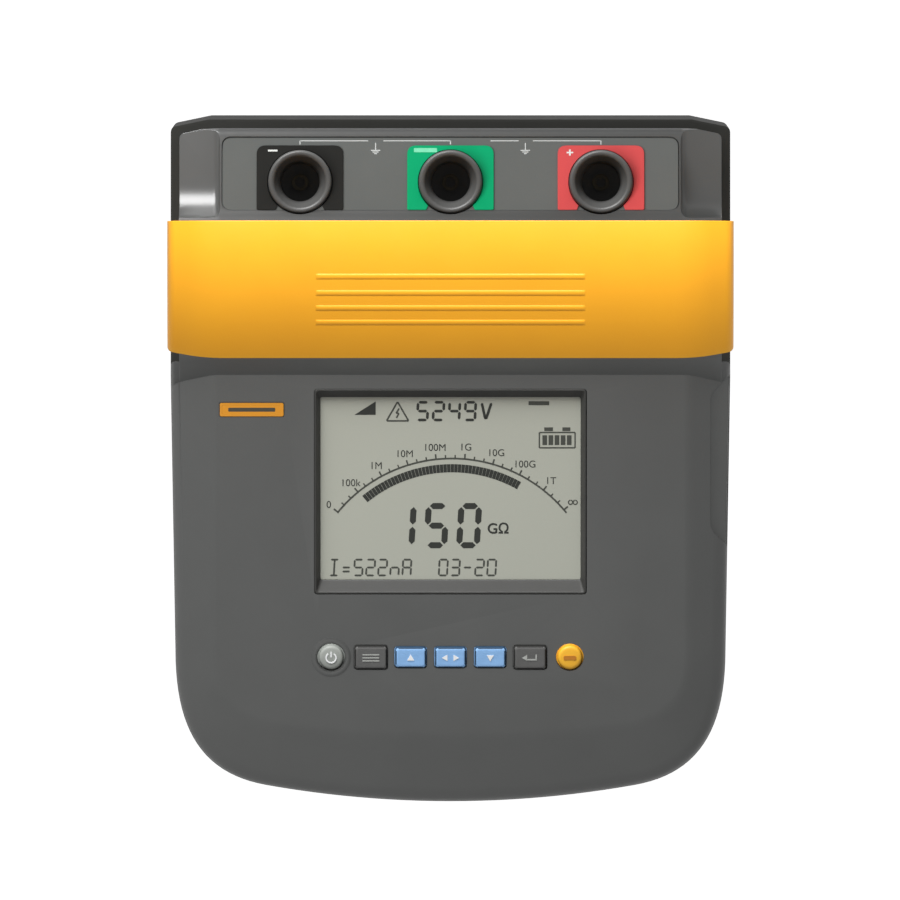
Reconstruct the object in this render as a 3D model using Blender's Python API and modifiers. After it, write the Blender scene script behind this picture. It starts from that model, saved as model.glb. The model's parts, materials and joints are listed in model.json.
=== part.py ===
"""Bench insulation resistance tester with a swinging carry handle.

The instrument lies on its back on rubber feet: +X right, +Y towards the test terminals, +Z up.
The origin is on the bench, under the middle of the case. All lengths are in metres.
"""

import math

import bmesh
import bpy
from mathutils import Matrix, Vector

MM = 0.001
GAP = 0.3 * MM
FAR = 400 * MM

# Case plan.
HALF_LENGTH = 146.5 * MM
HALF_WIDTH = 119.4 * MM
FRONT_HALF_WIDTH = 117.4 * MM
SIDE_BEND_Y = 35 * MM
CORNER_Y = -82 * MM
NOSE_HALF_CHORD = 78.5 * MM
NOSE_RADIUS = 450 * MM
CORNER_FULLNESS = 0.69
CORNER_STEPS = 6
NOSE_STEPS = 3
REAR_SLANT_X = 103 * MM
REAR_CORNER = 2.8 * MM

# Heights.
FLOOR_Z = 5 * MM
FLOOR_INNER_Z = 8 * MM
PARTING_Z = 46 * MM
WALL = 3 * MM
LEDGE = 6.3 * MM

# Sloping display panel: its top edge, its tilt and its flat area.
PANEL_Y = 35.3 * MM
PANEL_Z = 105 * MM
PANEL_TILT = math.radians(9.2)
FACET_DROP = 8.5 * MM
PANEL_HALF_WIDTH = 100.9 * MM
PANEL_NOSE_Y = -118.3 * MM
WEDGE_REAR_Y = 40 * MM

# Raised rear block that carries the terminals.
BLOCK_FRONT_Y = 24 * MM
BLOCK_REAR_Y = 140.9 * MM
BLOCK_HALF_WIDTH = 115.2 * MM
SHOULDER_REAR_Y = 41 * MM
SHOULDER_HALF_WIDTH = 118.6 * MM
RIDGE_Z = 136 * MM
RAMP_TOP_Y = 44 * MM
RAMP_TOP_Z = 127 * MM
RAMP_FOOT_Z = 60 * MM
SLOPE_TOP_Y = 104.5 * MM
SLOPE_TOP_Z = 131.5 * MM
SLOPE_FOOT_Y = 138 * MM
SLOPE_FOOT_Z = 118 * MM

# Terminals.
JACK_X = 63.9 * MM
JACK_Y = 117.2 * MM
JACKS = {"black": -JACK_X, "green": 0, "red": JACK_X}
JACK_TOP_Z = 132.5 * MM
JACK_BASE_Z = 95 * MM
JACK_FLOOR_Z = 98 * MM
JACK_RADIUS = 13.5 * MM
JACK_BORE = 8.25 * MM
BLOCK_PLATE_HALF = 96.8 * MM
BLOCK_PLATE_LENGTH = 33.3 * MM
BLOCK_PLATE_SHIFT = -0.45 * MM
BLOCK_POCKET_DEPTH = 5.4 * MM
PLATE_WIDTH = 36.8 * MM
PLATE_LENGTH = 29.6 * MM
PLATE_SHIFT = -2.5 * MM

# Dips either side of the terminal block.
SCOOP_X = 97.8 * MM
SCOOP_WIDTH = 20 * MM
SCOOP_RADIUS = 19 * MM
SCOOP_Y = 121 * MM
SCOOP_Z = 136 * MM
SCOOP_FALL = math.radians(12)
SCOOP_STEPS = 8

# Display and buttons, in the panel's own plane.
DISPLAY_V = -50.3 * MM
DISPLAY_SIZE = (115.4 * MM, 88 * MM)
VIEW_SIZE = (110.7 * MM, 78.6 * MM)
VIEW_SHIFT_V = 1 * MM
BUTTON_V = -121.7 * MM
BUTTON_PITCH = 16.94 * MM
BUTTON_RISE = 1.6 * MM
BUTTON_CLEARANCE = 0.8 * MM
BUTTON_RADIUS = 5.1 * MM
ARROW_KEY = (13.1 * MM, 8.7 * MM)
WORD_KEY = (13.8 * MM, 10 * MM)
FLANGE_LOW = -4.6 * MM
FLANGE_HIGH = -3.4 * MM
KEYPAD_SIZE = (124 * MM, 20 * MM)
NAMEPLATE_PLACE = (-84.5 * MM, -14.9 * MM)
NAMEPLATE_POCKET = (27.7 * MM, 6.4 * MM, 1 * MM)

# Name, place in the row, size (one radius or two sides) and colour of each button.
BUTTONS = [
    ("power_button", -3, (BUTTON_RADIUS,), (0.35, 0.36, 0.37)),
    ("function_button", -2, WORD_KEY, (0.13, 0.13, 0.13)),
    ("up_button", -1, ARROW_KEY, (0.36, 0.56, 0.8)),
    ("left_right_button", 0, ARROW_KEY, (0.36, 0.56, 0.8)),
    ("down_button", 1, ARROW_KEY, (0.36, 0.56, 0.8)),
    ("enter_button", 2, WORD_KEY, (0.13, 0.13, 0.13)),
    ("test_button", 3, (BUTTON_RADIUS,), (0.85, 0.45, 0.08)),
]

# Carry handle, a barrel shape turned about its pivot axis.
PIVOT = Vector((0, 88 * MM, 73 * MM))
HANDLE_RADIUS = 96 * MM
HANDLE_END_RADIUS = 89 * MM
HANDLE_HALF_WIDTH = 120 * MM
HANDLE_FACET_X = 104 * MM
HANDLE_THICKNESS = 6 * MM
ARM_THICKNESS = 3.8 * MM
BOSS_RADIUS = 11.5 * MM
HANDLE_FRONT = math.radians(-27.6)
HANDLE_REAR = math.radians(6.6)
LINER_FRONT = math.radians(-24)
LINER_REAR = math.radians(2.5)
RIB_ANGLES = [math.radians(a) for a in (-6.7, -10.9, -14.8, -18.6)]
RIB_HALF_LENGTH = 57 * MM

# Recess in the right-hand wall, with the mains inlet behind a sliding shutter.
RECESS_X = 110.7 * MM
RECESS_Y = (-39 * MM, 36 * MM)
RECESS_FLOOR_Z = 49 * MM
RECESS_ROOF_Z = 75 * MM
NOTCH_DEPTH = 12 * MM
INLET_Y = -13 * MM
INLET_Z = 62 * MM
INFRARED_Y = 17 * MM
INFRARED_HOLE = (10.6 * MM, 8.6 * MM)
RAIL_Y = (-30.5 * MM, 27.5 * MM)
SHUTTER_LENGTH = 28 * MM

# Screws, posts and standoffs inside the case; each is on both sides.
CASE_SCREWS = [(107.9 * MM, 126 * MM), (107.9 * MM, 52 * MM), (80 * MM, -118 * MM)]
POST_TOPS = [104 * MM, 120 * MM, 74.5 * MM]
POST_RADIUS = 4.5 * MM
PILLAR_RADIUS = 6 * MM
STANDOFF_RADIUS = 3 * MM
SCREW_HOLE_RADIUS = 2.3 * MM
HEAD_HOLE_RADIUS = 4.5 * MM
HEAD_SEAT_Z = 25 * MM
MAIN_STANDOFFS = [(93.5 * MM, 25 * MM), (93.5 * MM, -103 * MM)]
HIGH_STANDOFFS = [(90 * MM, 50 * MM), (90 * MM, 130 * MM)]
MAIN_BOARD_Z = 50 * MM
HIGH_BOARD_Z = 60 * MM
FEET = [(88 * MM, 112 * MM), (80 * MM, -92 * MM)]

CASE_GREY = (0.075, 0.077, 0.076)
DARK_GREY = (0.04, 0.04, 0.038)
HANDLE_YELLOW = (0.87, 0.45, 0.03)
BLACK = (0.015, 0.015, 0.016)
STEEL = (0.55, 0.55, 0.56)


# ---------------------------------------------------------------- scene and modelling helpers


def clear_scene():
    for obj in list(bpy.data.objects):
        bpy.data.objects.remove(obj, do_unlink=True)


def new_collection(name):
    collection = bpy.data.collections.new(name)
    bpy.context.scene.collection.children.link(collection)
    return collection


clear_scene()
PARTS = new_collection("insulation_resistance_tester")
CUTTERS = new_collection("cutters")


def paint(obj, colour, roughness=0.6, metallic=0.0):
    """Gives an object its own Principled material."""
    mat = bpy.data.materials.new(obj.name + "_material")
    mat.use_nodes = True
    shader = mat.node_tree.nodes["Principled BSDF"]
    shader.inputs["Base Color"].default_value = (*colour, 1)
    shader.inputs["Roughness"].default_value = roughness
    shader.inputs["Metallic"].default_value = metallic
    obj.data.materials.clear()
    obj.data.materials.append(mat)
    return obj


def add_object(name, mesh, cutter=False):
    obj = bpy.data.objects.new(name, mesh)
    (CUTTERS if cutter else PARTS).objects.link(obj)
    if cutter:
        obj.hide_render = True
        obj.display_type = "WIRE"
    return obj


def from_bmesh(name, bm, cutter=False):
    bmesh.ops.recalc_face_normals(bm, faces=bm.faces)
    mesh = bpy.data.meshes.new(name)
    bm.to_mesh(mesh)
    bm.free()
    return add_object(name, mesh, cutter)


def box(name, size, centre, matrix=None, cutter=False):
    """A box of a full size about a centre, given in the frame of a matrix."""
    bm = bmesh.new()
    bmesh.ops.create_cube(bm, size=1)
    bmesh.ops.scale(bm, vec=size, verts=bm.verts)
    bmesh.ops.translate(bm, vec=centre, verts=bm.verts)
    obj = from_bmesh(name, bm, cutter)
    if matrix is not None:
        obj.matrix_world = matrix
    return obj


def cylinders(name, places, radius, low, high, segments=16):
    """A cutter of upright cylinders of one radius; their tops may be a list of heights."""
    bm = bmesh.new()
    highs = high if isinstance(high, list) else [high] * len(places)
    for (x, y), top in zip(places, highs):
        spot = Matrix.Translation((x, y, (low + top) / 2))
        bmesh.ops.create_cone(
            bm, cap_ends=True, segments=segments, radius1=radius, radius2=radius, depth=top - low,
            matrix=spot,
        )
    return from_bmesh(name, bm, True)


AXIS_FRAMES = {
    "X": Matrix(((0, 0, 1, 0), (1, 0, 0, 0), (0, 1, 0, 0), (0, 0, 0, 1))),
    "Y": Matrix(((1, 0, 0, 0), (0, 0, -1, 0), (0, 1, 0, 0), (0, 0, 0, 1))),
    "Z": Matrix.Identity(4),
}


def evaluated_mesh(guide):
    """The mesh a guide object makes with its modifiers; the guide is then removed."""
    bpy.context.view_layer.update()
    graph = bpy.context.evaluated_depsgraph_get()
    mesh = bpy.data.meshes.new_from_object(guide.evaluated_get(graph))
    mesh.transform(guide.matrix_world)
    bpy.data.objects.remove(guide, do_unlink=True)
    return mesh


def prism(name, outline, low, high, axis="Z", cutter=False):
    """A flat outline extruded along an axis: (x, y) for Z, (y, z) for X, (x, z) for Y."""
    curve = bpy.data.curves.new(name + "_outline", "CURVE")
    curve.dimensions = "2D"
    curve.fill_mode = "BOTH"
    curve.extrude = (high - low) / 2
    spline = curve.splines.new("POLY")
    spline.points.add(len(outline) - 1)
    for point, (u, v) in zip(spline.points, outline):
        point.co = (u, v, 0, 1)
    spline.use_cyclic_u = True
    guide = bpy.data.objects.new(name + "_outline", curve)
    CUTTERS.objects.link(guide)
    middle = (low + high) / 2 * (-1 if axis == "Y" else 1)
    guide.matrix_world = AXIS_FRAMES[axis] @ Matrix.Translation((0, 0, middle))
    mesh = evaluated_mesh(guide)
    bm = bmesh.new()
    bm.from_mesh(mesh)
    bpy.data.meshes.remove(mesh)
    bmesh.ops.remove_doubles(bm, verts=bm.verts, dist=1e-6)
    return from_bmesh(name, bm, cutter)


def lathe(name, profile, matrix=None, segments=32, closed=False, cutter=False):
    """A profile of (radius, height) turned about Z; a closed profile makes a ring."""
    outline = bpy.data.meshes.new(name + "_profile")
    points = [(r, 0, z) for r, z in profile]
    edges = [(i, i + 1) for i in range(len(points) - 1)]
    if closed:
        edges.append((len(points) - 1, 0))
    outline.from_pydata(points, edges, [])
    guide = bpy.data.objects.new(name + "_profile", outline)
    CUTTERS.objects.link(guide)
    screw = guide.modifiers.new("turn", "SCREW")
    screw.steps = screw.render_steps = segments
    screw.use_merge_vertices = True
    screw.merge_threshold = 1e-5
    mesh = evaluated_mesh(guide)
    mesh.shade_smooth()
    mesh.set_sharp_from_angle(angle=math.radians(35))
    obj = add_object(name, mesh, cutter)
    if matrix is not None:
        obj.matrix_world = matrix
    return obj


def loft(name, rings, cutter=False):
    """Joins rings of equally many points into one closed solid."""
    bm = bmesh.new()
    loops = [[bm.verts.new(p) for p in ring] for ring in rings]
    for lower, upper in zip(loops, loops[1:]):
        for i in range(len(lower)):
            j = (i + 1) % len(lower)
            bm.faces.new((lower[i], lower[j], upper[j], upper[i]))
    bm.faces.new(loops[0][::-1])
    bm.faces.new(loops[-1])
    return from_bmesh(name, bm, cutter)


def boolean(obj, other, operation):
    modifier = obj.modifiers.new(operation.lower() + "_" + other.name, "BOOLEAN")
    modifier.operation = operation
    modifier.object = other
    return obj


def cut(obj, *others):
    for other in others:
        boolean(obj, other, "DIFFERENCE")
    return obj


def join(obj, *others):
    for other in others:
        boolean(obj, other, "UNION")
    return obj


def soften(obj, width, segments=1):
    bevel = obj.modifiers.new("soft_edges", "BEVEL")
    bevel.width = width
    bevel.segments = segments
    bevel.limit_method = "ANGLE"
    bevel.angle_limit = math.radians(40)
    return obj


# ---------------------------------------------------------------- outlines and surfaces


def bezier(points, steps):
    """Points of a cubic curve after its first one."""
    out = []
    for i in range(1, steps + 1):
        t = i / steps
        weights = ((1 - t) ** 3, 3 * t * (1 - t) ** 2, 3 * t * t * (1 - t), t ** 3)
        out.append(tuple(sum(w * p[k] for w, p in zip(weights, points)) for k in (0, 1)))
    return out


def nose_half(side, corner_y, chord, nose_y, radius):
    """The right half of a nose: a full corner, then a long flat arc to the middle."""
    lean = math.asin(chord / radius)
    end = (chord, nose_y + radius * (1 - math.cos(lean)))
    meet_y = end[1] + (side - chord) * math.tan(lean)
    reach = CORNER_FULLNESS * (side - chord)
    start = (side, corner_y)
    pull = (side, corner_y + CORNER_FULLNESS * (meet_y - corner_y))
    push = (chord + reach, end[1] + reach * math.tan(lean))
    points = [start] + bezier([start, pull, push, end], CORNER_STEPS)
    for i in range(1, NOSE_STEPS + 1):
        x = chord * (1 - i / NOSE_STEPS)
        points.append((x, nose_y + radius - math.sqrt(radius * radius - x * x)))
    return points


def mirrored(half):
    """A whole outline from its right half, which ends on the middle line."""
    return half + [(-x, y) for x, y in reversed(half[:-1])]


def case_outline():
    """The plan of the case: slightly slanted rear corners, near-parallel sides, full nose."""
    c = REAR_CORNER
    inner = (HALF_WIDTH - c, HALF_LENGTH - c)
    outer = (HALF_WIDTH, HALF_LENGTH - 2 * c)
    pull = (HALF_WIDTH - c / 3, HALF_LENGTH - 1.1 * c)
    push = (HALF_WIDTH, HALF_LENGTH - 1.4 * c)
    rear = [(REAR_SLANT_X, HALF_LENGTH), inner] + bezier([inner, pull, push, outer], 3)
    nose = nose_half(FRONT_HALF_WIDTH, CORNER_Y, NOSE_HALF_CHORD, -HALF_LENGTH, NOSE_RADIUS)
    return mirrored(rear + [(HALF_WIDTH, SIDE_BEND_Y)] + nose)


def shrink(outline, side, rear=None, nose=None):
    """An outline moved in at its sides, its rear end and its nose."""
    rear = side if rear is None else rear
    nose = side if nose is None else nose
    across = 1 - side / HALF_WIDTH
    back = 1 - rear / HALF_LENGTH
    front = 1 - nose / HALF_LENGTH
    return [(x * across, y * (back if y > 0 else front)) for x, y in outline]


def at_height(outline, z):
    return [(x, y, z) for x, y in outline]


def panel_z(y):
    return PANEL_Z + (y - PANEL_Y) * math.tan(PANEL_TILT)


def ramp_y(z):
    """Where the ramp behind the panel is, at a height."""
    run = (RAMP_TOP_Y - PANEL_Y) / (RAMP_TOP_Z - PANEL_Z)
    return RAMP_TOP_Y - (RAMP_TOP_Z - z) * run


def offset_polygon(points, distance):
    """A counter-clockwise polygon with every side moved in by a distance."""
    lines = []
    for (x0, y0), (x1, y1) in zip(points, points[1:] + points[:1]):
        length = math.hypot(x1 - x0, y1 - y0)
        nx, ny = -(y1 - y0) / length, (x1 - x0) / length
        lines.append((nx, ny, nx * x0 + ny * y0 + distance))
    out = []
    for (a, b, c), (d, e, f) in zip(lines[-1:] + lines[:-1], lines):
        det = a * e - b * d
        out.append(((c * e - b * f) / det, (a * f - c * d) / det))
    return out


PANEL = Matrix.Translation((0, PANEL_Y, PANEL_Z)) @ Matrix.Rotation(PANEL_TILT, 4, "X")
SLOPE_TILT = math.atan2(SLOPE_TOP_Z - SLOPE_FOOT_Z, SLOPE_FOOT_Y - SLOPE_TOP_Y)
SLOPE_MIDDLE = (0, (SLOPE_TOP_Y + SLOPE_FOOT_Y) / 2, (SLOPE_TOP_Z + SLOPE_FOOT_Z) / 2)
SLOPE = Matrix.Translation(SLOPE_MIDDLE) @ Matrix.Rotation(-SLOPE_TILT, 4, "X")


# ---------------------------------------------------------------- case shells


def wedge(name, inset, cutter=False):
    """The display section: case plan below, sloping flat panel with facets round it."""
    lift = -inset
    base_z = PARTING_Z - 6 * MM
    half = [(HALF_WIDTH, WEDGE_REAR_Y - inset)]
    half += nose_half(FRONT_HALF_WIDTH, CORNER_Y, NOSE_HALF_CHORD, -HALF_LENGTH, NOSE_RADIUS)
    side = mirrored(half)
    flat_half = [(PANEL_HALF_WIDTH, WEDGE_REAR_Y - inset)]
    flat_half += nose_half(PANEL_HALF_WIDTH, -86 * MM, 68 * MM, PANEL_NOSE_Y, 620 * MM)
    flat = mirrored(flat_half)
    low = shrink(side, 0.7 * MM + inset, 0)
    wall = shrink(side, inset, 0)
    shoulder = shrink(side, 0.5 * MM + inset, 0)
    edge = shrink(side, 1.6 * MM + inset, 0)
    top = shrink(flat, 0.4 * inset, 0)
    rings = [
        at_height(low, base_z - inset),
        at_height(low, PARTING_Z + 0.5 * GAP),
        at_height(wall, PARTING_Z + 1.2 * MM),
        [(x, y, panel_z(y) - FACET_DROP - 1.6 * MM + lift) for x, y in shoulder],
        [(x, y, panel_z(y) - FACET_DROP + lift) for x, y in edge],
        [(x, y, panel_z(y) + lift) for x, y in top],
    ]
    return loft(name, rings, cutter)


def block_profile():
    """Side view of the rear block, counter-clockwise from its front foot, in (y, z)."""
    return [
        (BLOCK_FRONT_Y, PARTING_Z - 7.3 * MM),
        (BLOCK_REAR_Y, PARTING_Z - 7.3 * MM),
        (BLOCK_REAR_Y - 1.2 * MM, SLOPE_FOOT_Z - 2 * MM),
        (SLOPE_FOOT_Y, SLOPE_FOOT_Z),
        (SLOPE_TOP_Y, SLOPE_TOP_Z),
        (SLOPE_TOP_Y - 4 * MM, RIDGE_Z),
        (RAMP_TOP_Y + 8 * MM, RIDGE_Z),
        (RAMP_TOP_Y, RAMP_TOP_Z),
        (ramp_y(RAMP_FOOT_Z), RAMP_FOOT_Z),
    ]


def rear_block(name, inset, cutter=False):
    """The raised block under the handle, with the slope that holds the terminals."""
    profile = block_profile()
    if inset:
        profile = offset_polygon(profile, inset)
        profile = [(y, z - 10 * MM if i < 2 else z) for i, (y, z) in enumerate(profile)]
    rear_shift = HALF_LENGTH - BLOCK_REAR_Y + inset
    side_shift = HALF_WIDTH - BLOCK_HALF_WIDTH + inset
    plan = shrink(case_outline(), side_shift, rear_shift, 0)
    plan = [(x, y) for x, y in plan if y > SIDE_BEND_Y]
    middle = len(plan) // 2
    front = BLOCK_FRONT_Y - 20 * MM
    half_width = max(x for x, _ in plan)
    corners = [(half_width, front), (-half_width, front)]
    right, left = plan[:middle], plan[middle:]
    outline = right + corners + left
    body = prism(name, outline, PARTING_Z - 30 * MM, RIDGE_Z + 10 * MM, "Z", cutter)
    side_view = prism(name + "_side_view", profile, -FAR, FAR, "X", True)
    return boolean(body, side_view, "INTERSECT")


def shoulder(name):
    """Full-width step in front of the handle arms."""
    profile = [
        (BLOCK_FRONT_Y - 1 * MM, PARTING_Z - 9 * MM),
        (SHOULDER_REAR_Y, PARTING_Z - 9 * MM),
        (SHOULDER_REAR_Y, PANEL_Z + (SHOULDER_REAR_Y - PANEL_Y) * 2.4),
        (ramp_y(RAMP_FOOT_Z), RAMP_FOOT_Z),
    ]
    return prism(name, profile, -SHOULDER_HALF_WIDTH, SHOULDER_HALF_WIDTH, "X", True)


def recess_outline(grow):
    """Plan of the side recess, with slanting ends; grow widens it into the case."""
    y0, y1 = RECESS_Y
    y0, y1 = y0 - 1.4 * grow, y1 + 1.4 * grow
    x0 = RECESS_X - grow
    run = HALF_WIDTH - RECESS_X
    return [(x0, y0 + run), (HALF_WIDTH, y0), (FAR, y0), (FAR, y1), (HALF_WIDTH, y1), (x0, y1 - run)]


def notch():
    """Opens the recess to the top, down to a shelf that follows the panel."""
    outline = recess_outline(0)
    shelf = [(x, y, panel_z(y) - NOTCH_DEPTH) for x, y in outline]
    return loft("notch_cut", [shelf, at_height(outline, FAR)], True)


def mirrored_places(places):
    return places + [(-x, y) for x, y in places]


def scoop_profile(grow):
    """Side view of a scoop: a flat floor that curves up to the ridge."""
    radius = SCOOP_RADIUS + grow
    top = SCOOP_Z + radius
    rear = SCOOP_Y + 2 * radius
    floor = SCOOP_Z - radius
    points = [(rear, floor), (rear, top), (SCOOP_Y - radius, top)]
    for i in range(SCOOP_STEPS + 1):
        angle = math.pi / 2 * i / SCOOP_STEPS
        points.append((SCOOP_Y - radius * math.cos(angle), SCOOP_Z - radius * math.sin(angle)))
    return points


def scoops(name, grow):
    """Concave dips outside the terminal block, open at the sides; their floors fall outwards."""
    both = None
    for side in (-1, 1):
        ends = sorted((side * (SCOOP_X - grow), side * (SCOOP_X + SCOOP_WIDTH)))
        dip = prism(f"{name}_{side}", scoop_profile(grow), *ends, "X", True)
        fall = math.tan(SCOOP_FALL)
        slant = Matrix(((1, 0, 0, 0), (0, 1, 0, 0), (-side * fall, 0, 1, fall * SCOOP_X), (0, 0, 0, 1)))
        dip.data.transform(slant)
        both = join(both, dip) if both else dip
    return both


def make_top_shell():
    shell = wedge("top_shell", 0)
    join(shell, rear_block("block_body", 0, True), shoulder("shoulder_body"))
    hollow = wedge("case_top_hollow", WALL, True)
    join(hollow, rear_block("rear_hollow", WALL, True))
    liner = prism("recess_liner", recess_outline(WALL), 20 * MM, FAR, "Z", True)
    cut(hollow, liner, scoops("scoop_linings", WALL), terminal_pocket("pocket_lining", WALL))
    cavity = prism("recess_cut", recess_outline(0), RECESS_FLOOR_Z, RECESS_ROOF_Z, "Z", True)
    cut(shell, hollow, scoops("scoop_cuts", 0), cavity, notch())
    places = mirrored_places(CASE_SCREWS)
    posts = cylinders("screw_posts", places, POST_RADIUS, PARTING_Z - 11 * MM, POST_TOPS * 2, 20)
    pilots = cylinders("pilot_holes", places, SCREW_HOLE_RADIUS, PARTING_Z - 5 * MM, 62 * MM, 12)
    parting = box("parting_cut", (FAR, FAR, PARTING_Z), (0, 0, PARTING_Z / 2 + 0.5 * GAP), None, True)
    join(shell, posts, power_collar())
    cut(shell, parting, pilots, *panel_cutters(), *terminal_cutters(), *side_cutters())
    return paint(shell, CASE_GREY, 0.55)


def panel_cutters():
    """Openings for the display, the buttons and the nameplate."""
    w, h = DISPLAY_SIZE
    window = box("display_cut", (w + 2 * GAP, h + 2 * GAP, 20 * MM), (0, DISPLAY_V, 0), PANEL, True)
    plate = box("nameplate_cut", NAMEPLATE_POCKET, (*NAMEPLATE_PLACE, 0), PANEL, True)
    cutters = [window, plate]
    for name, place, size, _ in BUTTONS:
        spot = button_spot(place)
        if len(size) == 1:
            edge = size[0] + BUTTON_CLEARANCE
            profile = [(0, 9 * MM), (edge, 9 * MM), (edge, -9 * MM), (0, -9 * MM)]
            cutters.append(lathe(name + "_hole", profile, spot, 24, False, True))
        else:
            hole = (size[0] + BUTTON_CLEARANCE, size[1] + BUTTON_CLEARANCE, 18 * MM)
            cutters.append(box(name + "_hole", hole, (0, 0, 0), spot, True))
    return cutters


def button_spot(place):
    """The frame of a button on the panel, counted from the middle of the row."""
    return PANEL @ Matrix.Translation((place * BUTTON_PITCH, BUTTON_V, 0))


def power_collar():
    """Low rounded ring round the power button."""
    profile = [
        (6.2 * MM, 0.4 * MM), (6.9 * MM, 0.9 * MM), (7.7 * MM, 0.7 * MM), (8.6 * MM, -0.3 * MM),
        (8.6 * MM, -1 * MM), (6.2 * MM, -1 * MM),
    ]
    return lathe("power_collar", profile, button_spot(-3), 32, True, True)


def terminal_pocket(name, grow):
    """Where the terminal block sits in the slope; grow leaves a wall under it."""
    size = (2 * (BLOCK_PLATE_HALF + GAP + grow), BLOCK_PLATE_LENGTH + 2 * (GAP + grow), 30 * MM)
    centre = (0, BLOCK_PLATE_SHIFT, 15 * MM - BLOCK_POCKET_DEPTH - grow)
    return box(name, size, centre, SLOPE, True)


def jack_passage(name, x):
    radius = JACK_RADIUS + GAP
    hole = [(0, FAR), (radius, FAR), (radius, 60 * MM), (0, 60 * MM)]
    spot = Matrix.Translation((x, JACK_Y, 0))
    return lathe(f"jack_passage_{name}", hole, spot, 24, False, True)


def terminal_cutters():
    pocket = terminal_pocket("terminal_pocket", 0)
    pivot = []
    for side in (-1, 1):
        turn = Matrix.Translation(PIVOT) @ Matrix.Rotation(math.radians(90 * side), 4, "Y")
        profile = [(0, 140 * MM), (5 * MM, 140 * MM), (5 * MM, 100 * MM), (0, 100 * MM)]
        pivot.append(lathe("pivot_hole", profile, turn, 24, False, True))
    passages = [jack_passage(name, x) for name, x in JACKS.items()]
    return [pocket, *passages, *pivot]


def side_cutters():
    inlet = box("inlet_cut", (20 * MM, 24 * MM, 17 * MM), (RECESS_X, INLET_Y, INLET_Z), None, True)
    port = box("infrared_cut", (20 * MM, *INFRARED_HOLE), (RECESS_X, INFRARED_Y, INLET_Z), None, True)
    return [inlet, port]


def make_bottom_shell():
    plan = case_outline()
    top_z = PARTING_Z - 0.5 * GAP
    steps = [
        (FLOOR_Z, 5, 7, 8),
        (FLOOR_Z + 2 * MM, 3, 4, 5),
        (13 * MM, 1.6, 1, 3),
        (22 * MM, 1, 0, 1.8),
        (PARTING_Z - 1.2 * MM, 0, 2, 0),
        (top_z, 0.7, 2.5, 0.7),
    ]
    rings = [at_height(shrink(plan, s * MM, r * MM, n * MM), z) for z, s, r, n in steps]
    shell = loft("bottom_shell", rings)
    walls = ((FLOOR_INNER_Z, 9), (14 * MM, 5.5), (41 * MM, 4.2))
    deep = [at_height(shrink(plan, inset * MM), z) for z, inset in walls]
    mouth = prism("case_mouth", shrink(plan, LEDGE + 1.5 * MM), 38 * MM, 60 * MM, "Z", True)
    cut(shell, loft("case_hollow", deep, True), mouth)
    screws = mirrored_places(CASE_SCREWS)
    low = FLOOR_Z + 1 * MM
    pillars = cylinders("case_pillars", screws, PILLAR_RADIUS, low, top_z)
    join(shell, pillars)
    boards = {"main": (MAIN_STANDOFFS, MAIN_BOARD_Z), "high": (HIGH_STANDOFFS, HIGH_BOARD_Z)}
    for name, (places, board_z) in boards.items():
        spots = mirrored_places(places)
        join(shell, cylinders(name + "_standoffs", spots, STANDOFF_RADIUS, low, board_z - GAP, 12))
    heads = cylinders("screw_recesses", screws, HEAD_HOLE_RADIUS, 0, HEAD_SEAT_Z)
    holes = cylinders("screw_holes", screws, SCREW_HOLE_RADIUS, 20 * MM, 60 * MM, 12)
    studs = cylinders("foot_holes", mirrored_places(FEET), 4 * MM, 0, 20 * MM)
    cut(shell, heads, holes, studs)
    return paint(shell, DARK_GREY, 0.6)


def make_case_fasteners():
    ends = ("rear", "middle", "front")
    for side, sign in (("right", 1), ("left", -1)):
        for end, (x, y) in zip(ends, CASE_SCREWS):
            profile = [
                (0, 58 * MM), (2 * MM, 57 * MM), (2 * MM, HEAD_SEAT_Z - GAP), (4.1 * MM, HEAD_SEAT_Z - GAP),
                (4.1 * MM, 21.6 * MM), (3.4 * MM, 21 * MM), (1.6 * MM, 21 * MM), (1.2 * MM, 22.6 * MM),
                (0, 22.6 * MM),
            ]
            spot = Matrix.Translation((sign * x, y, 0))
            paint(lathe(f"case_screw_{end}_{side}", profile, spot, 10), STEEL, 0.35, 1)
        for end, (x, y) in zip(("rear", "front"), FEET):
            profile = [
                (0, FLOOR_INNER_Z), (3.7 * MM, FLOOR_INNER_Z), (3.7 * MM, 4.7 * MM), (11 * MM, 4.7 * MM),
                (11.5 * MM, 4 * MM), (11 * MM, 0.8 * MM), (10 * MM, 0), (0, 0),
            ]
            foot = lathe(f"foot_{end}_{side}", profile, Matrix.Translation((sign * x, y, 0)), 16)
            paint(foot, BLACK, 0.9)


# ---------------------------------------------------------------- terminals


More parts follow.
